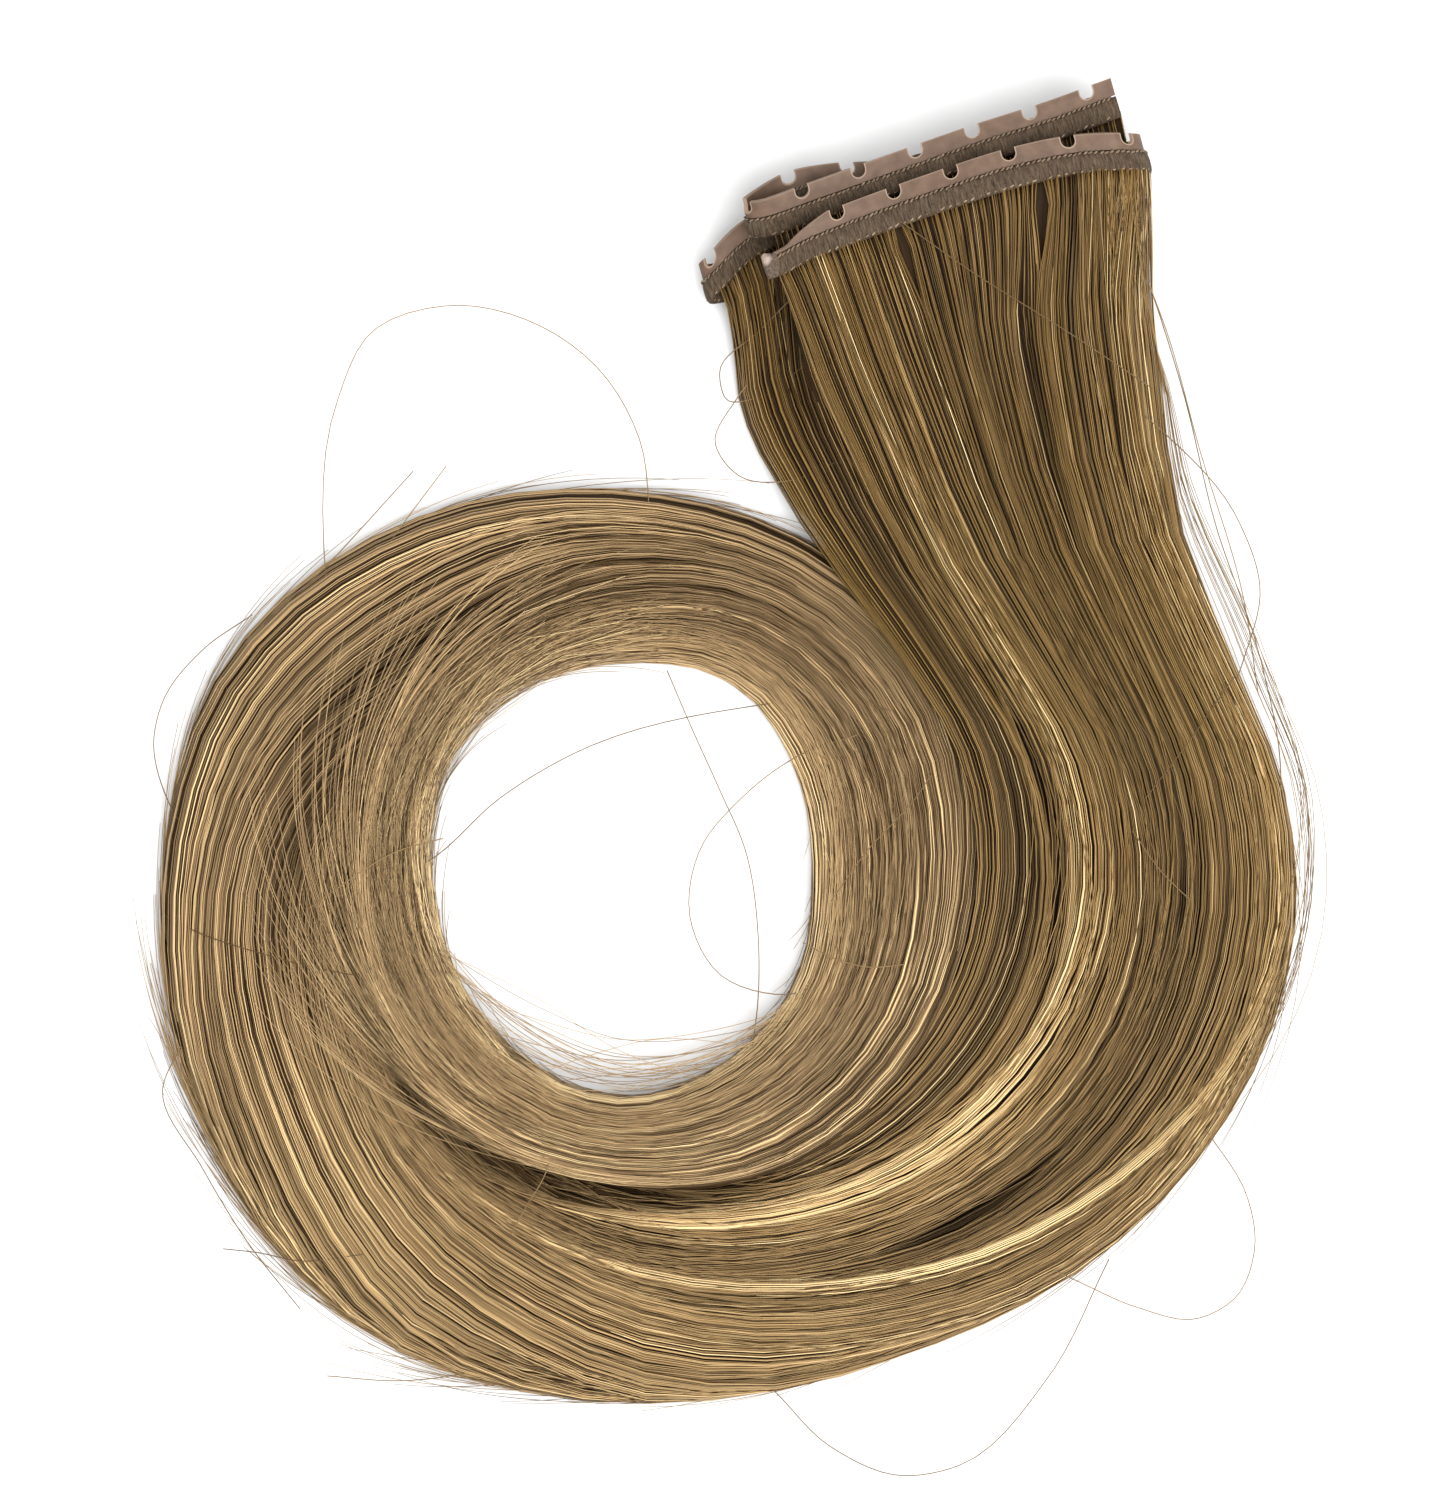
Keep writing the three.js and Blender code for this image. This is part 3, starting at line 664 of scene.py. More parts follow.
def tape_finish():
    finish = Finish("satin_tape", Roughness=0.55, Specular_IOR_Level=0.25)
    flat = finish.node("ShaderNodeUVMap", uv_map="Flat").outputs["UV"]
    split = finish.node("ShaderNodeSeparateXYZ", {0: flat})
    length, height = split.outputs[0], split.outputs[1]
    radius = NOTCH_WIDTH / 2
    middle = PIECE_GAP / 2 + TAPE_HEIGHT - NOTCH_DEPTH + radius
    shifted = finish.math("SUBTRACT", length, FIRST_NOTCH - NOTCH_PITCH / 2)
    aside = finish.math("SUBTRACT", finish.math("FLOORED_MODULO", shifted, NOTCH_PITCH), NOTCH_PITCH / 2)
    drop = finish.math("MINIMUM", finish.math("SUBTRACT", height, middle), 0.0)
    reach = finish.math("SQRT", finish.math("ADD", finish.math("MULTIPLY", aside, aside),
                                            finish.math("MULTIPLY", drop, drop)))
    # Painted highlight: the colour turns lighter along the rims of the notches and along the tape's free top
    # edge, standing in for a glint on the cut edges
    notch_glint = finish.node("ShaderNodeMapRange", {0: reach, 1: radius + 0.05, 2: radius + 0.17,
                                             3: 0.8, 4: 0.0}).outputs[0]
    notch_glint = finish.math("MULTIPLY", notch_glint, finish.math("GREATER_THAN", length, FIRST_NOTCH - NOTCH_WIDTH))
    edge_glint = finish.node("ShaderNodeMapRange", {0: height, 1: TAPE_HEIGHT - 0.05, 2: TAPE_HEIGHT + 0.13,
                                               3: 0.0, 4: 0.3}).outputs[0]
    cloud = finish.node("ShaderNodeTexNoise", {"Vector": flat, "Scale": 0.6, "Detail": 3.0}).outputs["Fac"]
    grain = finish.node("ShaderNodeTexNoise", {"Vector": flat, "Scale": 9.0, "Detail": 3.0}).outputs["Fac"]
    colour = finish.ramp(cloud, [(.3, (.078, .046, .029)), (.7, (.118, .072, .047))])
    colour = finish.mix(finish.math("MAXIMUM", notch_glint, edge_glint), colour, (.30, .215, .155))
    finish.link(colour, "Base Color")
    satin = finish.node("ShaderNodeMapRange", {0: grain, 1: .3, 2: .7, 3: .48, 4: .64}).outputs[0]
    finish.link(satin, "Roughness")
    finish.bump(grain, 0.15, 0.0001)
    return finish.material


def band_finish():
    finish = Finish("sewn_hair_band", Roughness=0.7, Specular_IOR_Level=0.2)
    flat = finish.node("ShaderNodeUVMap", uv_map="Flat").outputs["UV"]
    stretch = finish.node("ShaderNodeMapping", {"Vector": flat, "Scale": (1, 0.14, 1),
                                                "Rotation": (0, 0, 0.12)})
    ends = finish.node("ShaderNodeTexNoise", {"Vector": stretch.outputs[0], "Scale": 4.2, "Detail": 5.0,
                                              "Roughness": 0.7}).outputs["Fac"]
    fuzz = finish.node("ShaderNodeTexNoise", {"Vector": flat, "Scale": 5.0, "Detail": 4.0}).outputs["Fac"]
    colour = finish.ramp(ends, [(.30, (.012, .007, .003)), (.46, (.046, .029, .016)),
                                (.60, (.088, .060, .037)), (.74, (.140, .102, .068))])
    fuzzy = finish.node("ShaderNodeMapRange", {0: fuzz, 1: .52, 2: .75, 3: 0.0, 4: .55}).outputs[0]
    colour = finish.mix(fuzzy, colour, (.112, .082, .058))
    finish.link(colour, "Base Color")
    finish.bump(ends, 0.8, 0.0004)
    return finish.material


def thread_finish(name, dark, light):
    finish = Finish(name, Roughness=0.6, Specular_IOR_Level=0.25)
    flat = finish.node("ShaderNodeUVMap", uv_map="Flat").outputs["UV"]
    shade = finish.node("ShaderNodeTexNoise", {"Vector": flat, "Scale": 1.7, "Detail": 2.0}).outputs["Fac"]
    twist = finish.node("ShaderNodeTexWave", {"Vector": flat, "Scale": 3.0, "Distortion": 0.6},
                        bands_direction="DIAGONAL").outputs["Fac"]
    finish.link(finish.ramp(shade, [(.3, dark), (.7, light)]), "Base Color")
    finish.bump(twist, 0.4, 0.00006)
    return finish.material


def seal_finish():
    finish = Finish("matted_glue_end", Roughness=0.6, Specular_IOR_Level=0.25)
    flat = finish.node("ShaderNodeUVMap", uv_map="Flat").outputs["UV"]
    clump = finish.node("ShaderNodeTexNoise", {"Vector": flat, "Scale": 3.0, "Detail": 5.0}).outputs["Fac"]
    matted = finish.ramp(clump, [(.3, (.030, .019, .012)), (.52, (.078, .054, .037)),
                                 (.72, (.128, .094, .068))])
    corner = finish.node("ShaderNodeVectorMath", {0: flat, 1: (-1.15, 0.5, 0)},
                         operation="DISTANCE").outputs["Value"]
    glue = finish.node("ShaderNodeMapRange", {0: corner, 1: 0.35, 2: 0.95, 3: 0.85, 4: 0.0}).outputs[0]
    finish.link(finish.mix(glue, matted, (.36, .28, .235)), "Base Color")
    finish.bump(clump, 0.7, 0.0004)
    return finish.material


# Notched tape, made flat, then folded
def flat_strip(name, cells, height, middle, thickness):
    """A strip of a given height laid flat, as a thick sheet of cells."""
    nothing_selected()
    bpy.ops.mesh.primitive_grid_add(x_subdivisions=cells[0], y_subdivisions=cells[1], size=1,
                                    location=(STRIP_LENGTH / 2, middle, 0))
    strip = bpy.context.object
    strip.name = strip.data.name = name
    strip.scale = (STRIP_LENGTH, height, 1)
    bpy.ops.object.transform_apply(location=True, rotation=True, scale=True)
    apply_modifier(strip, "SOLIDIFY", thickness=thickness, offset=0)
    return strip


def notch_punch(top):
    """All the notches of the tape as one cutter, open above its free edge."""
    radius = NOTCH_WIDTH / 2
    middle = top - NOTCH_DEPTH + radius
    cutters = []
    for at in np.arange(FIRST_NOTCH, STRIP_LENGTH - NOTCH_MARGIN, NOTCH_PITCH):
        nothing_selected()
        bpy.ops.mesh.primitive_cylinder_add(vertices=NOTCH_SIDES, radius=radius, depth=4 * TAPE_THICKNESS,
                                            location=(at, middle, 0))
        cutter = bpy.context.object
        bpy.ops.object.transform_apply(location=True, rotation=True, scale=True)
        shape = points_of(cutter)
        shape[shape[:, 1] > middle + 0.01, 1] += NOTCH_DEPTH
        cutter.data.vertices.foreach_set("co", shape.ravel())
        cutters.append(cutter)
    nothing_selected()
    for cutter in cutters:
        cutter.select_set(True)
    bpy.context.view_layer.objects.active = cutters[0]
    bpy.ops.object.join()
    return bpy.context.object


def notched_tape():
    low, high = PIECE_GAP / 2, PIECE_GAP / 2 + TAPE_HEIGHT
    tape = flat_strip("satin_notched_tape", TAPE_CELLS, TAPE_HEIGHT, (low + high) / 2, TAPE_THICKNESS)
    punch = notch_punch(high)
    nothing_selected()
    tape.select_set(True)
    apply_modifier(tape, "BOOLEAN", object=punch, operation="DIFFERENCE", solver="EXACT")
    bpy.data.objects.remove(punch)
    flat = points_of(tape)
    map_flat(tape, flat)
    grown = np.clip((flat[:, 0] - TAPE_STARTS) / (TAPE_FULL - TAPE_STARTS), TAPE_LEAST, 1)
    flat[:, 1] = low + (flat[:, 1] - low) * grown ** TAPE_GROWTH
    lay(tape, folded(flat))
    finish_piece(tape, tape_finish(), "soft_tape", "notched_tape")
    bpy.ops.object.shade_smooth_by_angle(angle=math.radians(TAPE_RIM_FROM_DEG))


# Sewn band with the hair ends ribbed across it
def sewn_band():
    middle = -PIECE_GAP / 2 - BAND_HEIGHT / 2
    band = flat_strip("ribbed_sewn_band", BAND_CELLS, BAND_HEIGHT + PIECE_GAP, middle, BAND_THICKNESS)
    flat = points_of(band)
    map_flat(band, flat)
    share = np.abs(flat[:, 1] - middle) / (BAND_HEIGHT / 2 + PIECE_GAP / 2)
    waver = RIB_WAVER * np.sin(flat[:, 0] * RIB_WAVER_RATE + flat[:, 1])
    ribs = np.zeros(len(flat))
    for pitch, size in RIBS:
        phase = chance.uniform(0, 7)
        ribs += size * np.sin(2 * math.pi * flat[:, 0] / pitch + phase + waver)
    flat[:, 2] *= (1 - BAND_THINNING * share ** 4) * (1 + ribs)
    lay(band, folded(flat))
    finish_piece(band, band_finish(), "seam", "sewn_band")


# Rows of slanted stitches on both faces of the band
def stitch_row(name, pitch, height, out, size, slant, material):
    nothing_selected()
    bpy.ops.mesh.primitive_uv_sphere_add(segments=6, ring_count=4, radius=0.5)
    stitch = bpy.context.object
    bpy.ops.object.transform_apply(location=True, rotation=True, scale=True)
    form = points_of(stitch)[:, [2, 0, 1]] * np.array(size)
    polygons = [tuple(p.vertices) for p in stitch.data.polygons]
    bpy.data.objects.remove(stitch)
    points, faces = [], []
    for side in (1, -1):
        for at in np.arange(pitch, STRIP_LENGTH - pitch, pitch):
            lean = slant * side + chance.normal(0, STITCH_LEAN_JITTER)
            grow = chance.uniform(*STITCH_GROWTH)
            spun = np.stack([form[:, 0] * math.cos(lean) - form[:, 1] * math.sin(lean),
                             form[:, 0] * math.sin(lean) + form[:, 1] * math.cos(lean), form[:, 2]], axis=1)
            spun *= grow
            spun += np.array([at + chance.normal(0, STITCH_ALONG_JITTER),
                              height + chance.normal(0, STITCH_UP_JITTER), side * out])
            base = len(points) * len(form)
            points.append(spun)
            faces.extend(tuple(base + v for v in polygon) for polygon in polygons)
    flat = np.vstack(points)
    row = new_piece(name, folded(flat), faces)
    map_flat(row, flat)
    finish_piece(row, material, "seam", "sewn_band")


# Matted end of the band with a drop of glue on its corner
def end_seal():
    nothing_selected()
    bpy.ops.mesh.primitive_uv_sphere_add(segments=48, ring_count=32, radius=1)
    seal = bpy.context.object
    seal.name = seal.data.name = "matted_glued_end"
    flat = points_of(seal)
    flat = np.sign(flat) * np.abs(flat) ** SEAL_SQUARENESS
    flat *= np.array(SEAL_HALVES)
    lumps = np.sin(flat[:, 0] * 3.1 + flat[:, 1] * 2.3) * np.sin(flat[:, 2] * 4.1 + flat[:, 1] * 1.7)
    flat *= 1 + SEAL_LUMPS * lumps[:, None]
    drop = np.exp(-((flat[:, 0] - GLUE_X) ** 2 + (flat[:, 1] - GLUE_Y) ** 2) / GLUE_SPREAD)[:, None]
    flat += drop * np.array(GLUE_PULL) + drop * np.array(GLUE_SWELL) * np.sign(flat[:, 2:])
    flat += np.array(SEAL_PLACE)
    map_flat(seal, flat)
    lay(seal, folded(flat))
    finish_piece(seal, seal_finish(), "glue", "end_seal")


# Where the hair lies
def flow_row(angle):
    """Inner edge's angle and radius, outer edge's angle and radius, and the flow's top at an angle."""
    return ease_between(FLOW[:, 0], FLOW[:, 1:], angle)


def on_flow(angle, lane):
    """Place in the plan of a lane, 0 at the flow's inner edge and 1 at its outer, and the flow's top there."""
    row = flow_row(angle)
    inner, outer = np.radians(row[..., 0]), np.radians(row[..., 2])
    x = row[..., 1] * np.cos(inner) * (1 - lane) + row[..., 3] * np.cos(outer) * lane
    y = row[..., 1] * np.sin(inner) * (1 - lane) + row[..., 3] * np.sin(outer) * lane
    rounded = (1 - np.clip(np.abs(2 * lane - 1), 0, 1) ** EDGE_ROUND) ** EDGE_FULLNESS
    stands = np.where(lane < 0.5, np.interp(angle, *INNER_STAND), np.interp(angle, *OUTER_STAND))
    rounded = 1 - (1 - rounded) * (1 - EDGE_STAND * stands)
    return COIL_X + x, COIL_Y - y, row[..., 4] * rounded


def second_turn(angle):
    """How far the second turn has begun, from 0 to 1."""
    return np.clip((angle - SECOND_TURN_FROM) / (SECOND_TURN_FULL - SECOND_TURN_FROM), 0, 1)


def late_lanes(tress):
    """Lanes of a tress on the second turn."""
    last = INNER_LATE + (OUTER_LATE - INNER_LATE) * TRESSES.index(tress) / (len(TRESSES) - 1)
    if tress is TRESSES[-1]:
        last = (INNER_LATE + OUTER_LATE) / 2
    return (LATE_MIX[0] * tress.lanes[-1] + LATE_MIX[1] * last, last, last, last)


def tress_lane(tress, angle, aside):
    """Lane of strands that lie aside of a tress's middle, from -1 to 1."""
    lanes = ease_between(LANE_STOPS + LATE_STOPS, tress.lanes + late_lanes(tress), angle)
    sway = sum(size * np.sin(np.radians(angle) * waves + phase * tress.root) for size, waves, phase in SWAYS)
    sway = sway * np.clip((angle - FALL_START) / SWAY_EASE, 0, 1)
    return lanes + sway + aside * tress.share / 2 * (1 - LATE_NARROWING * second_turn(angle))


def hollows_at(angle, lane):
    """Push aside and drop of the hair in the hollows between locks."""
    push, drop = np.zeros_like(lane), np.zeros_like(lane)
    for first, last, lane_first, lane_last, half, depth, aside in HOLLOWS:
        share = np.clip((angle - first) / (last - first), 0, 1)
        reach = np.sin(np.pi * share) ** 2
        off = lane - (lane_first + (lane_last - lane_first) * share)
        near = reach * np.exp(-(off / half) ** 2)
        push += aside * half * near * np.tanh(off / half * HOLLOW_STEEPNESS)
        drop += depth * near
    return push, drop


def tress_height(tress, angle, lane, aside):
    rise_share = np.interp(angle, (tress.risen - RISE_SPAN, tress.risen), (tress.fall, tress.ring))
    top = on_flow(angle, lane)[2] * rise_share
    rounded = 1 - TRESS_ROUND * np.clip(aside, -ASIDE_LIMIT, ASIDE_LIMIT) ** 2
    return LOWEST_HAIR + (top - LOWEST_HAIR) * rounded - hollows_at(angle, lane)[1]


# Top of all the tresses on a grid, for hair that crosses over them
GRID_STEP = 4.0
GRID_PAST = 25
GRID_ANGLES = np.arange(FALL_START, LAST_ANGLE + GRID_PAST, GRID_STEP)
GRID_LANES = np.linspace(-0.1, 1.1, 97)
CELL_GUARD = 1.001


def crown_table():
    angles, lanes = np.meshgrid(GRID_ANGLES, GRID_LANES, indexing="ij")
    crown = np.full(angles.shape, LOWEST_HAIR)
    for tress in TRESSES[:-1]:
        aside = (lanes - tress_lane(tress, angles, 0)) / (tress.share / 2)
        height = tress_height(tress, angles, lanes, aside)
        crown = np.maximum(crown, np.where(np.abs(aside) < TRESS_REACH, height, LOWEST_HAIR))
    return crown


CROWN = crown_table()


def crown_at(angle, lane):
    row = np.clip((angle - GRID_ANGLES[0]) / GRID_STEP, 0, len(GRID_ANGLES) - CELL_GUARD)
    column = np.clip((lane - GRID_LANES[0]) / (GRID_LANES[1] - GRID_LANES[0]), 0, len(GRID_LANES) - CELL_GUARD)
    r, c = row.astype(int), column.astype(int)
    fr, fc = row - r, column - c
    return (CROWN[r, c] * (1 - fr) * (1 - fc) + CROWN[r + 1, c] * fr * (1 - fc)
            + CROWN[r, c + 1] * (1 - fr) * fc + CROWN[r + 1, c + 1] * fr * fc)


def draped(angle, x, y, top, lift):
    """Height of hair under a top line, lifted where it lies over another turn of the coil."""
    across, down = x - COIL_X, COIL_Y - y
    radius, round_angle = np.hypot(across, down), np.degrees(np.arctan2(down, across))
    over_first = angle > LIES_ON_FIRST
    other = np.where(over_first, angle - 360, round_angle + 360)
    row = flow_row(other)
    lane = (radius - row[..., 1]) / (row[..., 3] - row[..., 1])
    lies_on = (over_first | (angle < FALL_LIES_UNTIL)) & (lane > 0) & (lane < 1)
    raised = np.maximum(top, crown_at(other, np.clip(lane, 0, 1)) + LAYER_RISE)
    return np.where(lies_on, raised, top) + lift


def placed(x, y, height, lowest):
    return np.stack([x, y, np.maximum(height, lowest)], axis=2)


# How the hair leaves the band
def parted(along):
    for place, opening, reach in PARTINGS:
        aside = along - place
        along = along + np.where(aside < 0, -opening, opening) * np.exp(-(aside / reach) ** 2)
    return along


def root_points(run_name, along, out, flow):
    """First places of each strand as it leaves the band, gathered by the stitches, and swings into the fall."""
    stitch = np.round(along / ROOT_PITCH) * ROOT_PITCH
    sewn = length_at(run_name, stitch + STITCH_SLACK * (along - stitch))
    at = length_at(run_name, along)
    base = along_strip(SEAM, at) - along_strip(RISE, at) * (PIECE_GAP / 2 + BAND_HEIGHT - ROOT_TUCK)
    base = base + along_strip(FACE, at) * out[:, None]
    aside = length_at(run_name, parted(along)) - at if run_name == "top" else 0 * at
    aside = aside[:, None] * along_strip(RUN, at)
    start = base + (sewn - at)[:, None] * along_strip(RUN, at) + PARTING_AT_BAND * aside
    fall = flow[:, 0]
    heading = flow[:, 1] - fall
    heading = heading / np.linalg.norm(heading, axis=1)[:, None]
    chord = fall - base
    reach = ROOT_REACH * np.linalg.norm(chord, axis=1)[:, None]
    leave = base + ((1 - STRAIGHT) * along_strip(BELOW, at) * reach + STRAIGHT * ROOT_REACH * chord)
    arrive = fall - heading * reach
    points = [base * (1 - t) ** 3 + leave * 3 * t * (1 - t) ** 2 + arrive * 3 * t * t * (1 - t) + fall * t ** 3
              for t in ROOT_SHARES]
    return np.stack([start, points[0] + aside] + points[1:], axis=1)


def from_roots(run_name, along, out, flow):
    """Control points of strands, from their roots on a run and on along the flow."""
    return np.concatenate([root_points(run_name, along, out, flow), flow], axis=1)


# Strands as meshes
def smooth_paths(control, stops):
    """Strands through their control points, read at stops counted in control points."""
    step = np.diff(control, axis=1)
    gap = np.linalg.norm(step, axis=2)[..., None] + 1e-6
    pace = step / gap
    slope = np.empty_like(control)
    slope[:, 1:-1] = (gap[:, 1:] * pace[:, :-1] + gap[:, :-1] * pace[:, 1:]) / (gap[:, 1:] + gap[:, :-1])
    slope[:, 0], slope[:, -1] = pace[:, 0], pace[:, -1]
    index = np.minimum(np.asarray(stops).astype(int), control.shape[1] - 2)
    part = (np.asarray(stops) - index)[None, :, None]
    square, cube = part ** 2, part ** 3
    bend = slope[:, index] * (cube - 2 * square + part) + slope[:, index + 1] * (cube - square)
    return (control[:, index] * (2 * cube - 3 * square + 1) + control[:, index + 1] * (3 * square - 2 * cube)
            + gap[:, index] * bend)


def strand_map(strand, ring, corner, count, rings):
    """Map of strands side by side, each in a narrow column of its own, with its ends as single points."""
    flank = np.stack([np.stack([corner, corner, corner + 1], -1),
                      np.stack([corner, corner + 1, corner + 1], -1)], axis=3)
    level = np.stack([np.stack([ring, ring + 1, ring + 1], -1),
                      np.stack([ring, ring + 1, ring], -1)], axis=3)
    column = (strand[..., None, None] + 0.05 + 0.9 * flank / 3) / count
    sides = np.stack([column, 0.002 + 0.996 * level / (rings - 1)], axis=-1).reshape(-1, 2)
    ends = np.zeros((6 * count, 2))
    ends[:, 0] = np.repeat(np.tile(np.arange(count), 2) + 0.5, 3) / count
    ends[3 * count:, 1] = 1
    return np.concatenate([sides, ends])


def strand_piece(name, paths, radius, tone, along):
    """Joined strands, each a closed three-sided tube along its path."""
    paths = paths.copy()
    paths[..., 2] = np.maximum(paths[..., 2], radius + 0.02)
    count, rings = paths.shape[:2]
    forward = np.gradient(paths, axis=1)
    forward /= np.linalg.norm(forward, axis=2)[..., None] + 1e-9
    side = np.cross(forward, (0, 0, 1))
    side /= np.linalg.norm(side, axis=2)[..., None] + 1e-9
    lift = np.cross(side, forward)
    turns = np.radians([90, 210, 330])
    points = (paths[:, :, None] + radius[:, :, None, None] *
              (side[:, :, None] * np.cos(turns)[:, None] + lift[:, :, None] * np.sin(turns)[:, None]))
    strand, ring, corner = np.meshgrid(np.arange(count), np.arange(rings - 1), np.arange(3), indexing="ij")
    after = (corner + 1) % 3
    a, b = (strand * rings + ring) * 3 + corner, (strand * rings + ring + 1) * 3 + corner
    c, d = (strand * rings + ring + 1) * 3 + after, (strand * rings + ring) * 3 + after
    sides = np.stack([np.stack([a, b, c], -1), np.stack([a, c, d], -1)], axis=3).reshape(-1, 3)
    first = np.arange(count)[:, None] * rings * 3
    caps = np.concatenate([first + [0, 1, 2], first + (rings - 1) * 3 + [2, 1, 0]])
    piece = new_piece(name, points.reshape(-1, 3), np.concatenate([sides, caps]).astype(np.int32))
    store_on_points(piece.data, "tone", np.repeat(tone.ravel(), 3))
    store_on_points(piece.data, "along", np.repeat(along.ravel(), 3))
    add_map(piece.data, "OFBake", strand_map(strand, ring, corner, count, rings))
    finish_piece(piece, strand_finish, "hair", "hair")


def lay_strands(name, paths, tones, along, radius=STRAND_RADIUS):
    """Lays strands of nearly one thickness that thin out towards their tips."""
    count, rings = paths.shape[:2]
    taper = np.interp(np.linspace(0, 1, rings), *STRAND_TAPER)
    strand_piece(name, paths, chance.uniform(*RADIUS_RANGE, (count, 1)) * radius * taper[None], tones, along)


# Values along the strands
def wander(angles, size, slowest, quickest):
    """A slow drift along each strand."""
    drift = np.zeros_like(angles)
    count = len(angles)
    for share in DRIFT_MIX:
        wave = chance.uniform(quickest, slowest, (count, 1))
        drift += share * np.sin(2 * math.pi * (angles / wave + chance.uniform(0, 1, (count, 1))))
    return drift * size * np.clip((angles - FALL_START) / DRIFT_EASE, 0, 1)


def flow_angles(tips):
    """Angles of the control points, the same on all strands up to where their tips part."""
    tips = np.clip(tips, SHORTEST_TIP, LAST_ANGLE)
    shared = np.broadcast_to(np.linspace(FALL_START, FAN_START, SHARED_POINTS), (len(tips), SHARED_POINTS))
    past = np.linspace(0, 1, TIP_POINTS + 1)[None, 1:]
    return np.concatenate([shared, FAN_START + (tips[:, None] - FAN_START) * past], axis=1)


def at_rings(roots, values):
    """Values of the control points read at each ring of the strands."""
    every = np.concatenate([np.broadcast_to(roots, (len(values), ROOT_POINTS)), values], axis=1)
    index = np.minimum(RING_STOPS.astype(int), every.shape[1] - 2)
    part = RING_STOPS - index
    return every[:, index] * (1 - part) + every[:, index + 1] * part


def ring_angles(angles):
    """Angle of each ring of the strands, the root counted on from the fall."""
    return at_rings(np.array([ROOT_POINT_ANGLES]), angles)


def colour_share(angles):
    """Share of the hair's length, from root to tip, as the colour follows it."""
    return np.clip((angles - ROOT_ANGLE) / (LAST_ANGLE - ROOT_ANGLE), 0, 1)


def tone_near(angles, lanes):
    """Tone of the tresses where other strands lie over them, at each ring of these strands."""
    angles, lanes = ring_angles(angles), at_rings(lanes[:, :1], lanes)
    total, weight = np.zeros_like(angles), np.full_like(angles, 1e-6)
    for tress in TRESSES[:-1]:
        near = np.exp(-TONE_FADE * ((lanes - tress_lane(tress, angles, 0)) / tress.share) ** 2)
        total += near * ease_between(TONE_STOPS, tress.tones, angles)
        weight += near
    return total / weight


def streak_tone(angle, lane):
    """Tone of the light and dark streaks that lie side by side on the second turn."""
    row = flow_row(angle)
    across = row[..., 1] + (row[..., 3] - row[..., 1]) * lane
    tone = sum(strength * np.sin(2 * math.pi * (across / width + angle / drift) + STREAK_PHASE * width)
               for width, strength, drift in STREAKS)
    return tone * second_turn(angle)


def tip_fan(angles, least, most):
    """How far strands leave the ring outwards near their tips, in lanes."""
    count = len(angles)
    reach = np.clip(angles[:, -1:] - FAN_START, FAN_LEAST, chance.uniform(*FAN_REACH, (count, 1)))
    late = np.clip((angles - angles[:, -1:] + reach) / reach, 0, 1)
    grown = np.clip(reach / FAN_FULL, 0, 1) ** FAN_GROWTH
    return chance.uniform(least, most, (count, 1)) * grown * late ** FAN_CURVE


# Locks, wisps, strays and tips
def tress_strands(tress):
    """Strands of a tress, in locks and clumps that drift together."""
    count = tress.strands
    lock, clump = np.arange(count) // LOCK, np.arange(count) // CLUMP
    locks, clumps = lock[-1] + 1, clump[-1] + 1
    spread = np.linspace(-1, 1, count) + chance.normal(0, SPREAD_JITTER, count)
    tips = tress.tip + chance.normal(0, CLUMP_TIPS, clumps)[clump] + chance.normal(0, STRAND_TIPS, count)
    angles = flow_angles(tips)
    aside = spread[:, None] + wander(angles[::LOCK], *LOCK_DRIFT)[lock]
    aside = aside + wander(angles[::CLUMP], *CLUMP_DRIFT)[clump] + wander(angles, *STRAND_DRIFT)
    lane = tress_lane(tress, angles, aside)
    lane = np.clip(lane + hollows_at(angles, lane)[0], *LANE_LIMITS)
    streaks = streak_tone(angles, lane)
    lane = lane + tip_fan(angles, *TRESS_FAN)
    x, y, _ = on_flow(angles, lane)
    depth = chance.uniform(0, 1, (count, 1)) ** DEPTH_CURVE
    lift = wander(angles[::LOCK], *LOCK_LIFT)[lock] + wander(angles, *STRAND_LIFT) - depth * STRAND_DEPTH
    height = draped(angles, x, y, tress_height(tress, angles, np.clip(lane, 0, 1), aside), lift)
    roots, out = tress.root + spread * tress.width / 2, chance.uniform(-ROOT_OUT, ROOT_OUT, count)
    control = from_roots(tress.run, roots, out, placed(x, y, height, STRAND_LOWEST))
    # Own random tone of lock, clump and strand, plus painted shade and light by depth
    own = chance.normal(0, LOCK_TONE, locks)[lock] + chance.normal(0, CLUMP_TONE, clumps)[clump]
    own = own + chance.normal(0, STRAND_TONE, count) + DEPTH_PAINTED_SHADE * (MIDDLE_DEPTH - depth[:, 0])
    rings = ring_angles(angles)
    tones = TONE_MIDDLE + own[:, None] * (1 + LATE_CONTRAST * second_turn(rings))
    tones = tones + wander(rings[::LOCK], *LOCK_TONE_DRIFT)[lock] + wander(rings, *STRAND_TONE_DRIFT)
    # Tone along each tress from the table: own colour with painted highlight and painted shade
    tones = tones + ease_between(TONE_STOPS, tress.tones, rings)
    tones = tones + at_rings(0, streaks - HOLLOW_SHADE * hollows_at(angles, lane)[1])
    return smooth_paths(control, RING_STOPS), np.clip(tones, *TONE_LIMITS), colour_share(rings)


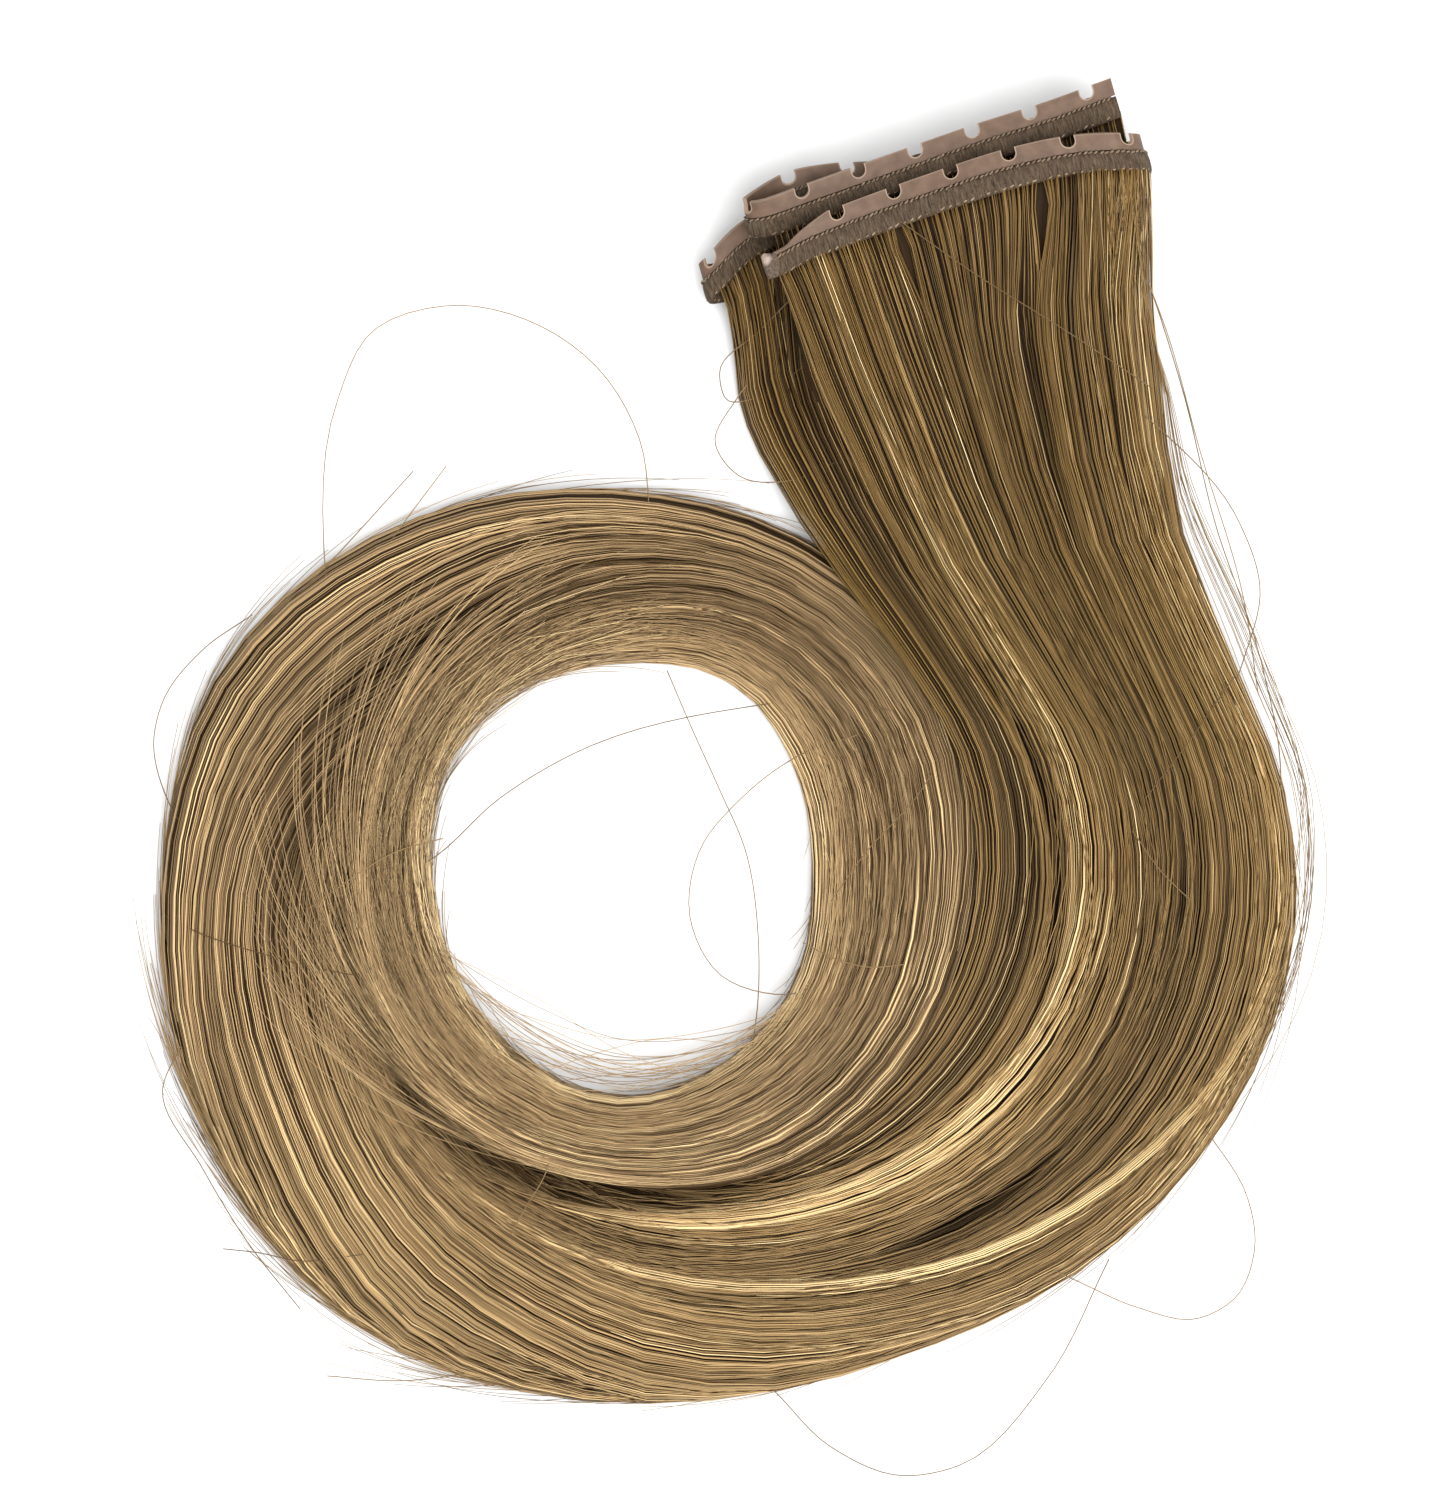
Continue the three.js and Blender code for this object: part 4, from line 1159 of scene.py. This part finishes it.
def crossing_strands(groups, each, drift, lift):
    """Wisps and stray strands that wander across the tresses, on top of them."""
    count = groups * each
    member = np.repeat(np.arange(groups), each)
    tips = chance.uniform(*CROSSING_TIPS, groups)[member] + chance.normal(0, STRAND_TIPS, count)
    angles = flow_angles(tips)
    followed = chance.integers(*FOLLOWED_TRESSES, groups)
    path = np.array([tress_lane(TRESSES[n], row, chance.uniform(-1, 1))
                     for n, row in zip(followed, angles[::each])])
    path = (path + wander(angles[::each], drift, *CROSSING_WAVES))[member]
    lane = path + chance.normal(0, CROSSING_SPREAD, (count, 1)) + wander(angles, *CROSSING_WAVER)
    lane = np.clip(lane, *LANE_LIMITS) + tip_fan(angles, *CROSSING_FAN)
    x, y, _ = on_flow(angles, lane)
    rise = chance.uniform(CROSSING_SINK, lift, groups)[member][:, None] + chance.uniform(0, lift, (count, 1))
    height = draped(angles, x, y, crown_at(angles, np.clip(lane, 0, 1)), rise)
    along, out = np.interp(lane[:, 0], ROOT_LANES, ROOT_PLACES), chance.uniform(*CROSSING_ROOT_OUT, count)
    control = from_roots("top", along, out, placed(x, y, height, CROSSING_LOWEST))
    tones = TONE_MIDDLE + CROSSING_TONE + chance.normal(0, WISP_TONE, groups)[member]
    tones = tones + chance.normal(0, WISP_STRAND_TONE, count)
    tones = np.clip(tones[:, None] + tone_near(angles, lane), *CROSSING_TONE_LIMITS)
    return smooth_paths(control, RING_STOPS), tones, colour_share(ring_angles(angles))


def tip_strands():
    """Tips of the second turn that leave it and fan out over the first."""
    count = TIP_WISPS * STRANDS_PER_TIP_WISP
    member = np.repeat(np.arange(TIP_WISPS), STRANDS_PER_TIP_WISP)
    tips, lane, reach = (np.linspace(*ends, TIP_WISPS)[member] for ends in (TIP_ANGLES, TIP_LANES, TIP_REACHES))
    tips = (tips + chance.normal(0, TIP_JITTER, count))[:, None]
    angles = tips - TIP_LENGTH * np.linspace(1, 0, TIP_CONTROL)[None]
    lane = lane[:, None] + wander(angles, *TIP_WAVER)
    late = np.clip((angles - tips + TIP_FANS_OVER) / TIP_FANS_OVER, 0, 1) ** TIP_FAN_CURVE
    early = np.clip((angles - angles[:, :1]) / TIP_SINKS_OVER, 0, 1)
    reach = reach + chance.normal(0, TIP_WISP_REACH, TIP_WISPS)[member]
    reach = reach + chance.normal(0, TIP_STRAND_REACH, count)
    lane = np.clip(lane, *TIP_LANE_LIMITS) + np.maximum(reach, 0)[:, None] * late
    x, y, _ = on_flow(angles, lane)
    rise = late * chance.uniform(*TIP_LIFT, (count, 1)) - TIP_SINK * (1 - early)
    height = draped(angles, x, y, crown_at(angles, np.clip(lane, 0, 1)), rise)
    stops = np.linspace(0, TIP_CONTROL - 1, TIP_RINGS)
    paths = smooth_paths(placed(x, y, height, CROSSING_LOWEST), stops)
    tones = TONE_MIDDLE + TIP_TONE + chance.normal(0, TIP_STRAND_TONE, count)
    tones = np.clip(tones[:, None] + TIP_LIGHT * np.linspace(0, 1, TIP_RINGS)[None] ** 2, *TIP_TONE_LIMITS)
    share = np.interp(stops, np.arange(TIP_CONTROL), colour_share(angles.mean(axis=0)))
    return paths, tones, np.tile(share, (count, 1))


LOCK_GROUPS = {
    "inner_locks": (0, 1, 2), "golden_locks": (3, 4, 5), "middle_locks": (6, 7, 8), "outer_locks": (9, 10, 11),
    "lower_locks": (12, 13, 14), "rolled_locks": (15, 16, 17), "crossing_lock": (18,),
}


def hair_pieces():
    for name, members in LOCK_GROUPS.items():
        locks = zip(*(tress_strands(TRESSES[n]) for n in members))
        lay_strands(name, *(np.concatenate(part) for part in locks))
    lay_strands("wisps", *crossing_strands(WISPS, STRANDS_PER_WISP, WISP_DRIFT, WISP_LIFT))
    lay_strands("fanned_tips", *tip_strands(), radius=TIP_RADIUS)
    paths, tones, along = crossing_strands(STRAYS, 1, STRAY_DRIFT, STRAY_LIFT)
    lay_strands("stray_strands", paths, tones + STRAY_TONE, along, radius=STRAY_RADIUS)


# Single hairs that leave the bundle: points from the bundle outwards, across, up the picture and height
FLYAWAYS = [
    [(-10.1, 28, 4), (-11.4, 37.8, 4), (-16.4, 46.6, 4), (-25.1, 52.8, 3), (-35.1, 54.9, 2), (-45.1, 51.6, 2),
     (-49.5, 42.8, 2), (-51.1, 24.7, 3), (-50.5, 18, 3)],
    [(-39.9, 34.1, 2), (-50.1, 22.8, 3), (-60.8, 11.6, 2), (-64, 4, 2)],
    [(-35.8, 34.7, 2), (-42.6, 25.3, 3), (-48, 16, 5)],
    [(48, 44, 7), (52.4, 40.3, 6), (63.6, 27.8, 4), (66.4, 19.1, 3), (64.3, 10.3, 3), (60, 0, 5)],
    [(57, -45, 4), (59.9, -49.1, 4), (64.9, -57.2, 2), (65.9, -63.5, 1), (63.6, -69.7, 1), (58.6, -72.5, 1),
     (51.1, -71, 2), (43.6, -67.6, 4), (36, -64, 5)],
    [(0, -77, 4), (4.9, -81, 2), (12.4, -88.5, 1), (21.1, -92.2, 1),
     (28.6, -91, 1), (39.9, -79.7, 2), (47.4, -64.7, 4)],
    [(-69, -38, 3), (-71.4, -43.5, 2), (-66.4, -53.5, 2), (-60.1, -63.5, 3), (-54, -71, 4)],
    [(-63.9, -63.7, 1), (-59.5, -64.1, 2), (-53.9, -65, 4), (-46, -64, 6)],
    [(-50.8, -79.7, 1), (-41.4, -80.3, 1), (-32.6, -79.1, 2), (-24, -76, 4)],
    [(-60, 16, 4), (-66.4, 11.6, 2), (-71.4, 5.3, 1), (-72.6, 0.3, 1), (-70.8, -7.2, 2), (-66, -14, 4)],
    [(-44, -18, 5), (-37.6, -14.7, 4), (-29, -7, 3), (-18.9, -1, 2), (1.1, 4.3, 3), (12.4, 5.3, 5), (20, 4, 6)],
    [(-8, 9, 5), (-5.1, 2.2, 3), (-1.4, -6, 2), (1.8, -13.5, 2), (3.4, -24, 2), (3.4, -32.2, 3), (2, -42, 5)],
    [(16, 1, 6), (8.6, -1.6, 4), (1.1, -7.2, 3), (-3.9, -13.5, 2), (-5.1, -22.2, 2),
     (-1.4, -29.1, 3), (6.1, -31.6, 4), (14, -29.5, 6)],
    [(10, 53, 5), (6.1, 49.1, 4), (0.5, 42.8, 3), (-2, 37.8, 2), (1.1, 33.4, 3), (7.4, 32.8, 4), (13, 35, 6)],
    [(8, 56, 5), (3.6, 51.6, 4), (-1.4, 46.6, 3), (-0.5, 43, 3), (4, 43.5, 4), (9, 47, 6)],
    [(49, 66, 9), (51.1, 60.3, 8), (56.8, 42.8, 6), (60.5, 27.8, 5), (66.4, 10.3, 4), (69, -4, 3),
     (67, -18, 4)],
    [(51, 60, 8), (54.3, 51.6, 7), (58.6, 36.6, 6), (64.3, 17.8, 4), (66, 6, 5)],
    [(20.3, 65.1, 12.6), (29.9, 58.4, 11.8), (41, 51.5, 11.2), (52.4, 44.1, 9.5)],
    [(62.9, 8.2, 6.5), (57, 0, 8.2), (51.5, -7.2, 8.2)],
    [(50, -11, 8.2), (54, -16.5, 8.2), (57.4, -19.8, 8)],
    [(25, -4, 8), (23.1, -6.8, 8.3), (17, -13.5, 8), (12.5, -19.8, 7)],
    [(9, -25, 6.6), (12.5, -26.8, 7.4), (17, -28, 8), (21.5, -27.7, 8.3)],
    [(-36, -12, 6.6), (-41.4, -13.5, 9.2), (-49.5, -18.5, 9), (-53, -21, 7.4)],
    [(-71.4, -21.6, 2), (-66, -24, 6.4), (-58, -26.5, 7.6), (-50.1, -28.5, 7.6), (-44, -29.5, 7)],
    [(-22, -50, 9), (-23.3, -54.1, 8.6), (-25.6, -58, 7.8), (-27.6, -61.6, 7.6)],
]
FLYAWAY_RADIUS = 0.084
FLYAWAY_RINGS = 40
FLYAWAY_TONES = (0.05, 0.4)
FLYAWAY_SHARES = (0.2, 0.9)


def flyaway_piece():
    paths = np.array([smooth_paths(np.array(points)[None], np.linspace(0, len(points) - 1, FLYAWAY_RINGS))[0]
                      for points in FLYAWAYS])
    count = len(paths)
    tones = np.repeat(chance.uniform(*FLYAWAY_TONES, (count, 1)), FLYAWAY_RINGS, axis=1)
    along = np.repeat(chance.uniform(*FLYAWAY_SHARES, (count, 1)), FLYAWAY_RINGS, axis=1)
    strand_piece("flyaways", paths, np.full((count, FLYAWAY_RINGS), FLYAWAY_RADIUS), tones, along)


# Short loose hairs at the edge of the coil and of its hole, every second one at the edge in the frayed part:
# angles where they start, degrees that they run on, how far they leave in lanes and along what curve
EDGE_STRAYS = 130
HOLE_STRAYS = 60
LOOSE_RINGS = 16
EDGE_ANGLES = (-30, 290)
HOLE_ANGLES = (330, 600)
FRAYED_ANGLES = (78, 150)
LOOSE_SPANS = (18, 60)
LOOSE_BEGINS = (0.02, 0.10)
LEAVE_SHAPE = 1.6
LEAVE_LANES = 0.028
LEAVE_CURVES = (1.2, 2.6)
LEAVE_FRAYED = 1.5
LEAVE_EDGE = 0.8
LEAVE_HOLE = 1.6
# Their heights: share of the flow's top, least, drop and lift towards the tip. Then tones and thickness
LOOSE_RISE = 0.5
LOOSE_LEAST = 0.4
LOOSE_DROP = 0.7
LOOSE_LIFT = 1.2
LOOSE_LOWEST = 0.1
LOOSE_LANE_LIMITS = (0.03, 0.97)
LOOSE_TONE = (0.4, 0.2)
LOOSE_TAPER = ((0, 0.6, 1), (0.06, 0.055, 0.035))


def edge_strays():
    """Short loose hairs that leave the outer edge of the coil and the edge of its hole."""
    count = EDGE_STRAYS + HOLE_STRAYS
    outer = np.arange(count) < EDGE_STRAYS
    frayed = outer & (np.arange(count) % 2 == 0)
    start = np.where(outer, chance.uniform(*EDGE_ANGLES, count), chance.uniform(*HOLE_ANGLES, count))
    start = np.where(frayed, chance.uniform(*FRAYED_ANGLES, count), start)
    span = chance.uniform(*LOOSE_SPANS, count)
    run_on = np.linspace(0, 1, LOOSE_RINGS)[None]
    angles = start[:, None] + span[:, None] * run_on
    away = (np.where(frayed, LEAVE_FRAYED, LEAVE_EDGE) * chance.gamma(LEAVE_SHAPE, LEAVE_LANES, count))[:, None]
    away = away * run_on ** chance.uniform(*LEAVE_CURVES, (count, 1))
    begin = chance.uniform(*LOOSE_BEGINS, count)[:, None]
    leaves_edge = 1 - begin + away + begin * run_on
    leaves_hole = begin - LEAVE_HOLE * away - begin * run_on
    lane = np.where(outer[:, None], leaves_edge, leaves_hole)
    x, y, _ = on_flow(angles, lane)
    height = np.maximum(LOOSE_RISE * on_flow(angles, np.clip(lane, *LOOSE_LANE_LIMITS))[2], LOOSE_LEAST)
    height = height * (1 - LOOSE_DROP * run_on) + chance.uniform(0, LOOSE_LIFT, (count, 1)) * run_on
    tones = np.repeat(np.clip(chance.normal(*LOOSE_TONE, (count, 1)), 0.05, 1), LOOSE_RINGS, axis=1)
    radius = np.interp(run_on, *LOOSE_TAPER) * np.ones((count, 1))
    strand_piece("edge_strays", placed(x, y, height, LOOSE_LOWEST), radius, tones, colour_share(angles))


# Hairs that bow off the right edge of the fall: degrees that they run, lane, bow in lanes, return, height, drop
EDGE_BOWS = 16
BOW_RINGS = 22
BOW_SPANS = (55, 90)
BOW_LANE = 0.985
BOW_LANES = (0.01, 0.11)
BOW_RETURN = 0.06
BOW_HEIGHT = 7.5
BOW_DROP = 3
BOW_HEIGHT_JITTER = 1
BOW_ROOTS = (22.8, 25.4)
BOW_OUT = (0, 0.6)
BOW_SHARE = 0.12
# Arcs across the bottom of the hole: first and last angle, how far they stand inside its edge, height and drop
HOLE_ARCS = 26
ARC_STARTS = (15, 70)
ARC_ENDS = (110, 175)
ARC_TUCK = 2.5
ARC_INSIDE = 3
ARC_SHAPE = 1.8
ARC_SCALE = 1.7
ARC_CURVE = 0.7
ARC_HEIGHT = 5.5
ARC_DROP = 4.5
ARC_SHARE = 0.7
BOWED_RADIUS = 0.05
BOWED_TONES = (0.25, 0.9)


def edge_bows():
    run_on = np.linspace(0, 1, BOW_RINGS)[None]
    bow = chance.uniform(*BOW_LANES, (EDGE_BOWS, 1))
    angles = FALL_START + chance.uniform(*BOW_SPANS, (EDGE_BOWS, 1)) * run_on
    x, y, _ = on_flow(angles, BOW_LANE + bow * np.sin(np.pi * run_on) - BOW_RETURN * run_on ** 4)
    height = BOW_HEIGHT - BOW_DROP * run_on
    height = height + chance.uniform(-BOW_HEIGHT_JITTER, BOW_HEIGHT_JITTER, (EDGE_BOWS, 1))
    roots, out = chance.uniform(*BOW_ROOTS, EDGE_BOWS), chance.uniform(*BOW_OUT, EDGE_BOWS)
    return from_roots("wrap", roots, out, np.stack([x, y, height], axis=2))


def hole_arcs():
    run_on = np.linspace(0, 1, BOW_RINGS + ROOT_POINTS)[None]
    first, last = chance.uniform(*ARC_STARTS, (HOLE_ARCS, 1)), chance.uniform(*ARC_ENDS, (HOLE_ARCS, 1))
    angles = first + (last - first) * run_on
    arch = np.sin(np.pi * run_on)
    inside = ARC_INSIDE + chance.gamma(ARC_SHAPE, ARC_SCALE, (HOLE_ARCS, 1))
    radius = flow_row(angles + 360)[..., 1] + ARC_TUCK - inside * arch ** ARC_CURVE
    height = ARC_HEIGHT - chance.uniform(0, ARC_DROP, (HOLE_ARCS, 1)) * arch
    turned = np.radians(angles)
    return np.stack([COIL_X + radius * np.cos(turned), COIL_Y - radius * np.sin(turned), height], axis=2)


def bowed_hairs():
    """Hairs that stand off the right edge of the fall, and arcs across the bottom of the hole."""
    paths = np.concatenate([edge_bows(), hole_arcs()])
    count, rings = paths.shape[:2]
    tones = np.repeat(chance.uniform(*BOWED_TONES, (count, 1)), rings, axis=1)
    along = np.repeat(np.where(np.arange(count) < EDGE_BOWS, BOW_SHARE, ARC_SHARE)[:, None], rings, axis=1)
    strand_piece("bowed_hairs", paths, np.full((count, rings), BOWED_RADIUS), tones, along)


# Bundle and sheets under the strands, darkened as painted shade
def closed_sweep(ring_points):
    """Points and faces of a closed sweep from its lines along, which run round each ring."""
    sides, rings = ring_points.shape[:2]
    faces = [(ring * sides + side, ring * sides + (side + 1) % sides, (ring + 1) * sides + (side + 1) % sides,
              (ring + 1) * sides + side) for ring in range(rings - 1) for side in range(sides)]
    faces.append(tuple(range(sides))[::-1])
    faces.append(tuple((rings - 1) * sides + side for side in range(sides)))
    return ring_points.transpose(1, 0, 2).reshape(-1, 3), faces, sides, rings


def hair_bundle():
    """The bundle under all the tresses as a closed sweep, with its tones."""
    thin = np.clip((BUNDLE_ANGLES[None] - BUNDLE_THINS_FROM) / (BUNDLE_END - BUNDLE_THINS_FROM), 0, 1)
    lane = BUNDLE_MIDDLE + (BUNDLE_LANES[:, None] - BUNDLE_MIDDLE) * (1 - BUNDLE_THINNING * thin)
    angles = BUNDLE_ANGLES[None] + 0 * lane
    x, y, _ = on_flow(angles, lane)
    flow = placed(x, y, crown_at(angles, lane) - BUNDLE_DEPTH - BUNDLE_END_SINK * thin, BUNDLE_LOWEST)
    out = np.full(len(BUNDLE_LANES), BUNDLE_OUT)
    roots = root_points("top", np.interp(BUNDLE_LANES, ROOT_LANES, ROOT_PLACES), out, flow)
    behind = np.interp(BUNDLE_LANES, (0, ROOT_LANES[0]), BUNDLE_BEHIND)
    behind = root_points("fourth", behind, out, flow)
    roots = np.where((BUNDLE_LANES < ROOT_LANES[0])[:, None, None], behind, roots)
    drop = np.array(BUNDLE_ROOT_DROPS)[:, None] * np.array([0, 0, 1])
    upper = np.concatenate([roots - BUNDLE_ROOT_TOP * drop, flow], axis=1)
    on_floor = np.stack([x, y, np.full_like(x, BUNDLE_FLOOR)], axis=2)
    lower = np.concatenate([roots - BUNDLE_ROOT_BOTTOM * drop, on_floor], axis=1)
    stops = np.concatenate([np.linspace(0, ROOT_POINTS, BUNDLE_ROOT_RINGS)[:-1],
                            np.arange(ROOT_POINTS, upper.shape[1])])
    tone = BUNDLE_TONE - BUNDLE_SHADE * hollows_at(angles, lane)[1]
    tone = np.concatenate([np.full((len(lane), BUNDLE_ROOT_RINGS - 1), BUNDLE_TONE), tone], axis=1)
    sweep = closed_sweep(smooth_paths(np.concatenate([upper, lower[::-1]]), stops))
    return sweep, np.concatenate([tone, tone[::-1]])


def painted_shade_bundle(name, sweeps, tones, shares):
    """Joins swept bundles into a piece with a map that runs along the hair, darkened as painted shade."""
    points, faces, maps, along = [], [], [], []
    base = 0
    for (part_points, part_faces, sides, rings), share in zip(sweeps, shares):
        points.append(part_points)
        faces.extend(tuple(base + v for v in face) for face in part_faces)
        base += len(part_points)
        middles = part_points.reshape(rings, sides, 3).mean(axis=1)
        lengths = np.concatenate([[0], np.cumsum(np.linalg.norm(np.diff(middles, axis=0), axis=1))])
        maps.append(np.stack([np.tile(np.arange(sides) * BUNDLE_MAP_WIDTH, rings),
                              np.repeat(lengths, sides)], axis=1))
        along.append(np.repeat(share, sides))
    piece = new_piece(name, np.vstack(points), faces)
    store_on_points(piece.data, "tone", np.clip(np.concatenate(tones), 0.0, 1.0))
    store_on_points(piece.data, "along", np.concatenate(along))
    add_map(piece.data, "Flow", np.vstack(maps)[corners_of(piece.data)])
    nothing_selected()
    piece.select_set(True)
    bpy.context.view_layer.objects.active = piece
    bpy.ops.object.mode_set(mode="EDIT")
    bpy.ops.mesh.select_all(action="SELECT")
    bpy.ops.mesh.normals_make_consistent(inside=False)
    bpy.ops.object.mode_set(mode="OBJECT")
    finish_piece(piece, painted_shade_finish, "hair", "hair")


# Hair of the folded layers under the top run
def layer_control(layer, along, out):
    """Control points of hair from places along a layer to the third section of the flow."""
    lanes = layer.inner + (layer.outer - layer.inner) * (along - layer.first) / (layer.last - layer.first)
    flow = []
    for angle, height in zip(FLOW[:3, 0], layer.heights):
        x, y, top = on_flow(np.full(len(lanes), angle), lanes)
        sunk = np.maximum(np.minimum(height, top - LAYER_SINK), LAYER_LOWEST)
        flow.append(np.stack([x, y, sunk + out], axis=1))
    return from_roots(layer.run, along, out, np.stack(flow, axis=1))


def layer_hair():
    """Lays the strands of the lower layers, and returns the sheets under them, dark as painted shade, with
    their colour share.
    """
    paths, tones, sheets = [], [], []
    stops = np.linspace(0, ROOT_POINTS + 2, LAYER_RINGS)
    half = np.array([0, 0, SHEET_HALF])
    for layer in LAYERS:
        along = np.linspace(layer.first - LAYER_MARGIN, layer.last + LAYER_MARGIN, LAYER_STRANDS)
        along = along + chance.normal(0, LAYER_JITTER, LAYER_STRANDS)
        control = layer_control(layer, along, chance.uniform(*LAYER_OUT, LAYER_STRANDS))
        paths.append(smooth_paths(control, stops))
        hidden = np.clip((along - layer.first) / LEFT_FADE - LEFT_OPEN, 0, 1)
        hidden = hidden * np.clip((layer.last - along) / RIGHT_FADE - RIGHT_OPEN, 0, 1)
        shade = LAYER_SHADE * hidden[:, None] * np.clip(stops - SHADE_FROM, 0, 1)[None]
        tone = LAYER_TONE + chance.normal(0, LAYER_STRAND_TONE, (LAYER_STRANDS, 1))
        tones.append(np.clip(tone - shade, *LAYER_TONE_LIMITS))
        across = np.linspace(layer.first - SHEET_MARGIN, layer.last + SHEET_MARGIN, SHEET_LINES)
        sheet = smooth_paths(layer_control(layer, across, np.full(SHEET_LINES, SHEET_OUT)), stops)
        sheets.append(closed_sweep(np.concatenate([sheet + half, (sheet - half)[::-1]])))
    paths, tones = np.concatenate(paths), np.concatenate(tones)
    share = np.linspace(0, LAYER_COLOUR_END, LAYER_RINGS)
    lay_strands("layer_strands", paths, tones, np.broadcast_to(share, paths.shape[:2]))
    return sheets, share


def hair_underneath_painted_shade():
    sheets, sheet_share = layer_hair()
    bundle, bundle_tone = hair_bundle()
    tones = [np.full(len(sheet[0]), BUNDLE_TONE) for sheet in sheets] + [bundle_tone.T.ravel()]
    root_angles = np.linspace(ROOT_POINT_ANGLES[0], FALL_START, BUNDLE_ROOT_RINGS)[:-1]
    share = colour_share(np.concatenate([root_angles, BUNDLE_ANGLES]))
    painted_shade_bundle("hair_underneath_painted_shade", sheets + [bundle], tones, [sheet_share] * len(sheets) + [share])


# Floor, light and camera
def stage_and_camera():
    nothing_selected()
    bpy.ops.mesh.primitive_plane_add(size=FLOOR_SIZE, location=(0, 0, 0))
    floor = bpy.context.object
    floor.name = "pale_floor"
    paper = Finish("white_paper", Roughness=0.9)
    place = paper.node("ShaderNodeTexCoord").outputs["Object"]
    mottle = paper.node("ShaderNodeTexNoise", {"Vector": place, "Scale": 40.0}).outputs["Fac"]
    paper.link(paper.ramp(mottle, [(at, (tone,) * 3) for at, tone in enumerate(FLOOR_TONES)]), "Base Color")
    floor.data.materials.append(paper.material)

    scene = bpy.context.scene
    scene.world = bpy.data.worlds.new("studio")
    scene.world.use_nodes = True
    backdrop = scene.world.node_tree.nodes["Background"]
    backdrop.inputs["Color"].default_value = (1, 1, 1, 1)
    backdrop.inputs["Strength"].default_value = WORLD_LIGHT
    for name, place, size, power in LAMPS:
        lamp = bpy.data.lights.new(name, "AREA")
        lamp.size = size
        lamp.energy = power
        holder = bpy.data.objects.new(name, lamp)
        holder.location = place
        tilt = math.acos(place[2] / np.linalg.norm(place))
        holder.rotation_euler = (tilt, 0, math.atan2(place[1], place[0]) + math.pi / 2)
        scene.collection.objects.link(holder)
    scene.view_settings.view_transform = "Standard"

    view = bpy.data.cameras.new("overhead")
    view.sensor_width = SENSOR
    view.lens = SENSOR * (CAMERA_HEIGHT - HAIR_MIDDLE_HEIGHT) / FRAME_HEIGHT
    view.clip_start = 0.01
    camera = bpy.data.objects.new("overhead", view)
    camera.location = (FRAME_MIDDLE[0] * MM, FRAME_MIDDLE[1] * MM, CAMERA_HEIGHT * MM)
    scene.collection.objects.link(camera)
    scene.camera = camera


notched_tape()
sewn_band()
seam_thread = thread_finish("seam_thread", (.085, .055, .032), (.21, .150, .098))
hem_thread = thread_finish("hem_thread", (.13, .092, .058), (.31, .235, .165))
stitch_row("seam_stitches", pitch=0.66, height=-0.05, out=0.5, size=(0.70, 0.29, 0.33), slant=0.5,
           material=seam_thread)
stitch_row("hem_stitches", pitch=1.0, height=-2.3, out=0.44, size=(0.80, 0.29, 0.33), slant=0.42,
           material=hem_thread)
end_seal()
hair_pieces()
flyaway_piece()
edge_strays()
bowed_hairs()
hair_underneath_painted_shade()
stage_and_camera()
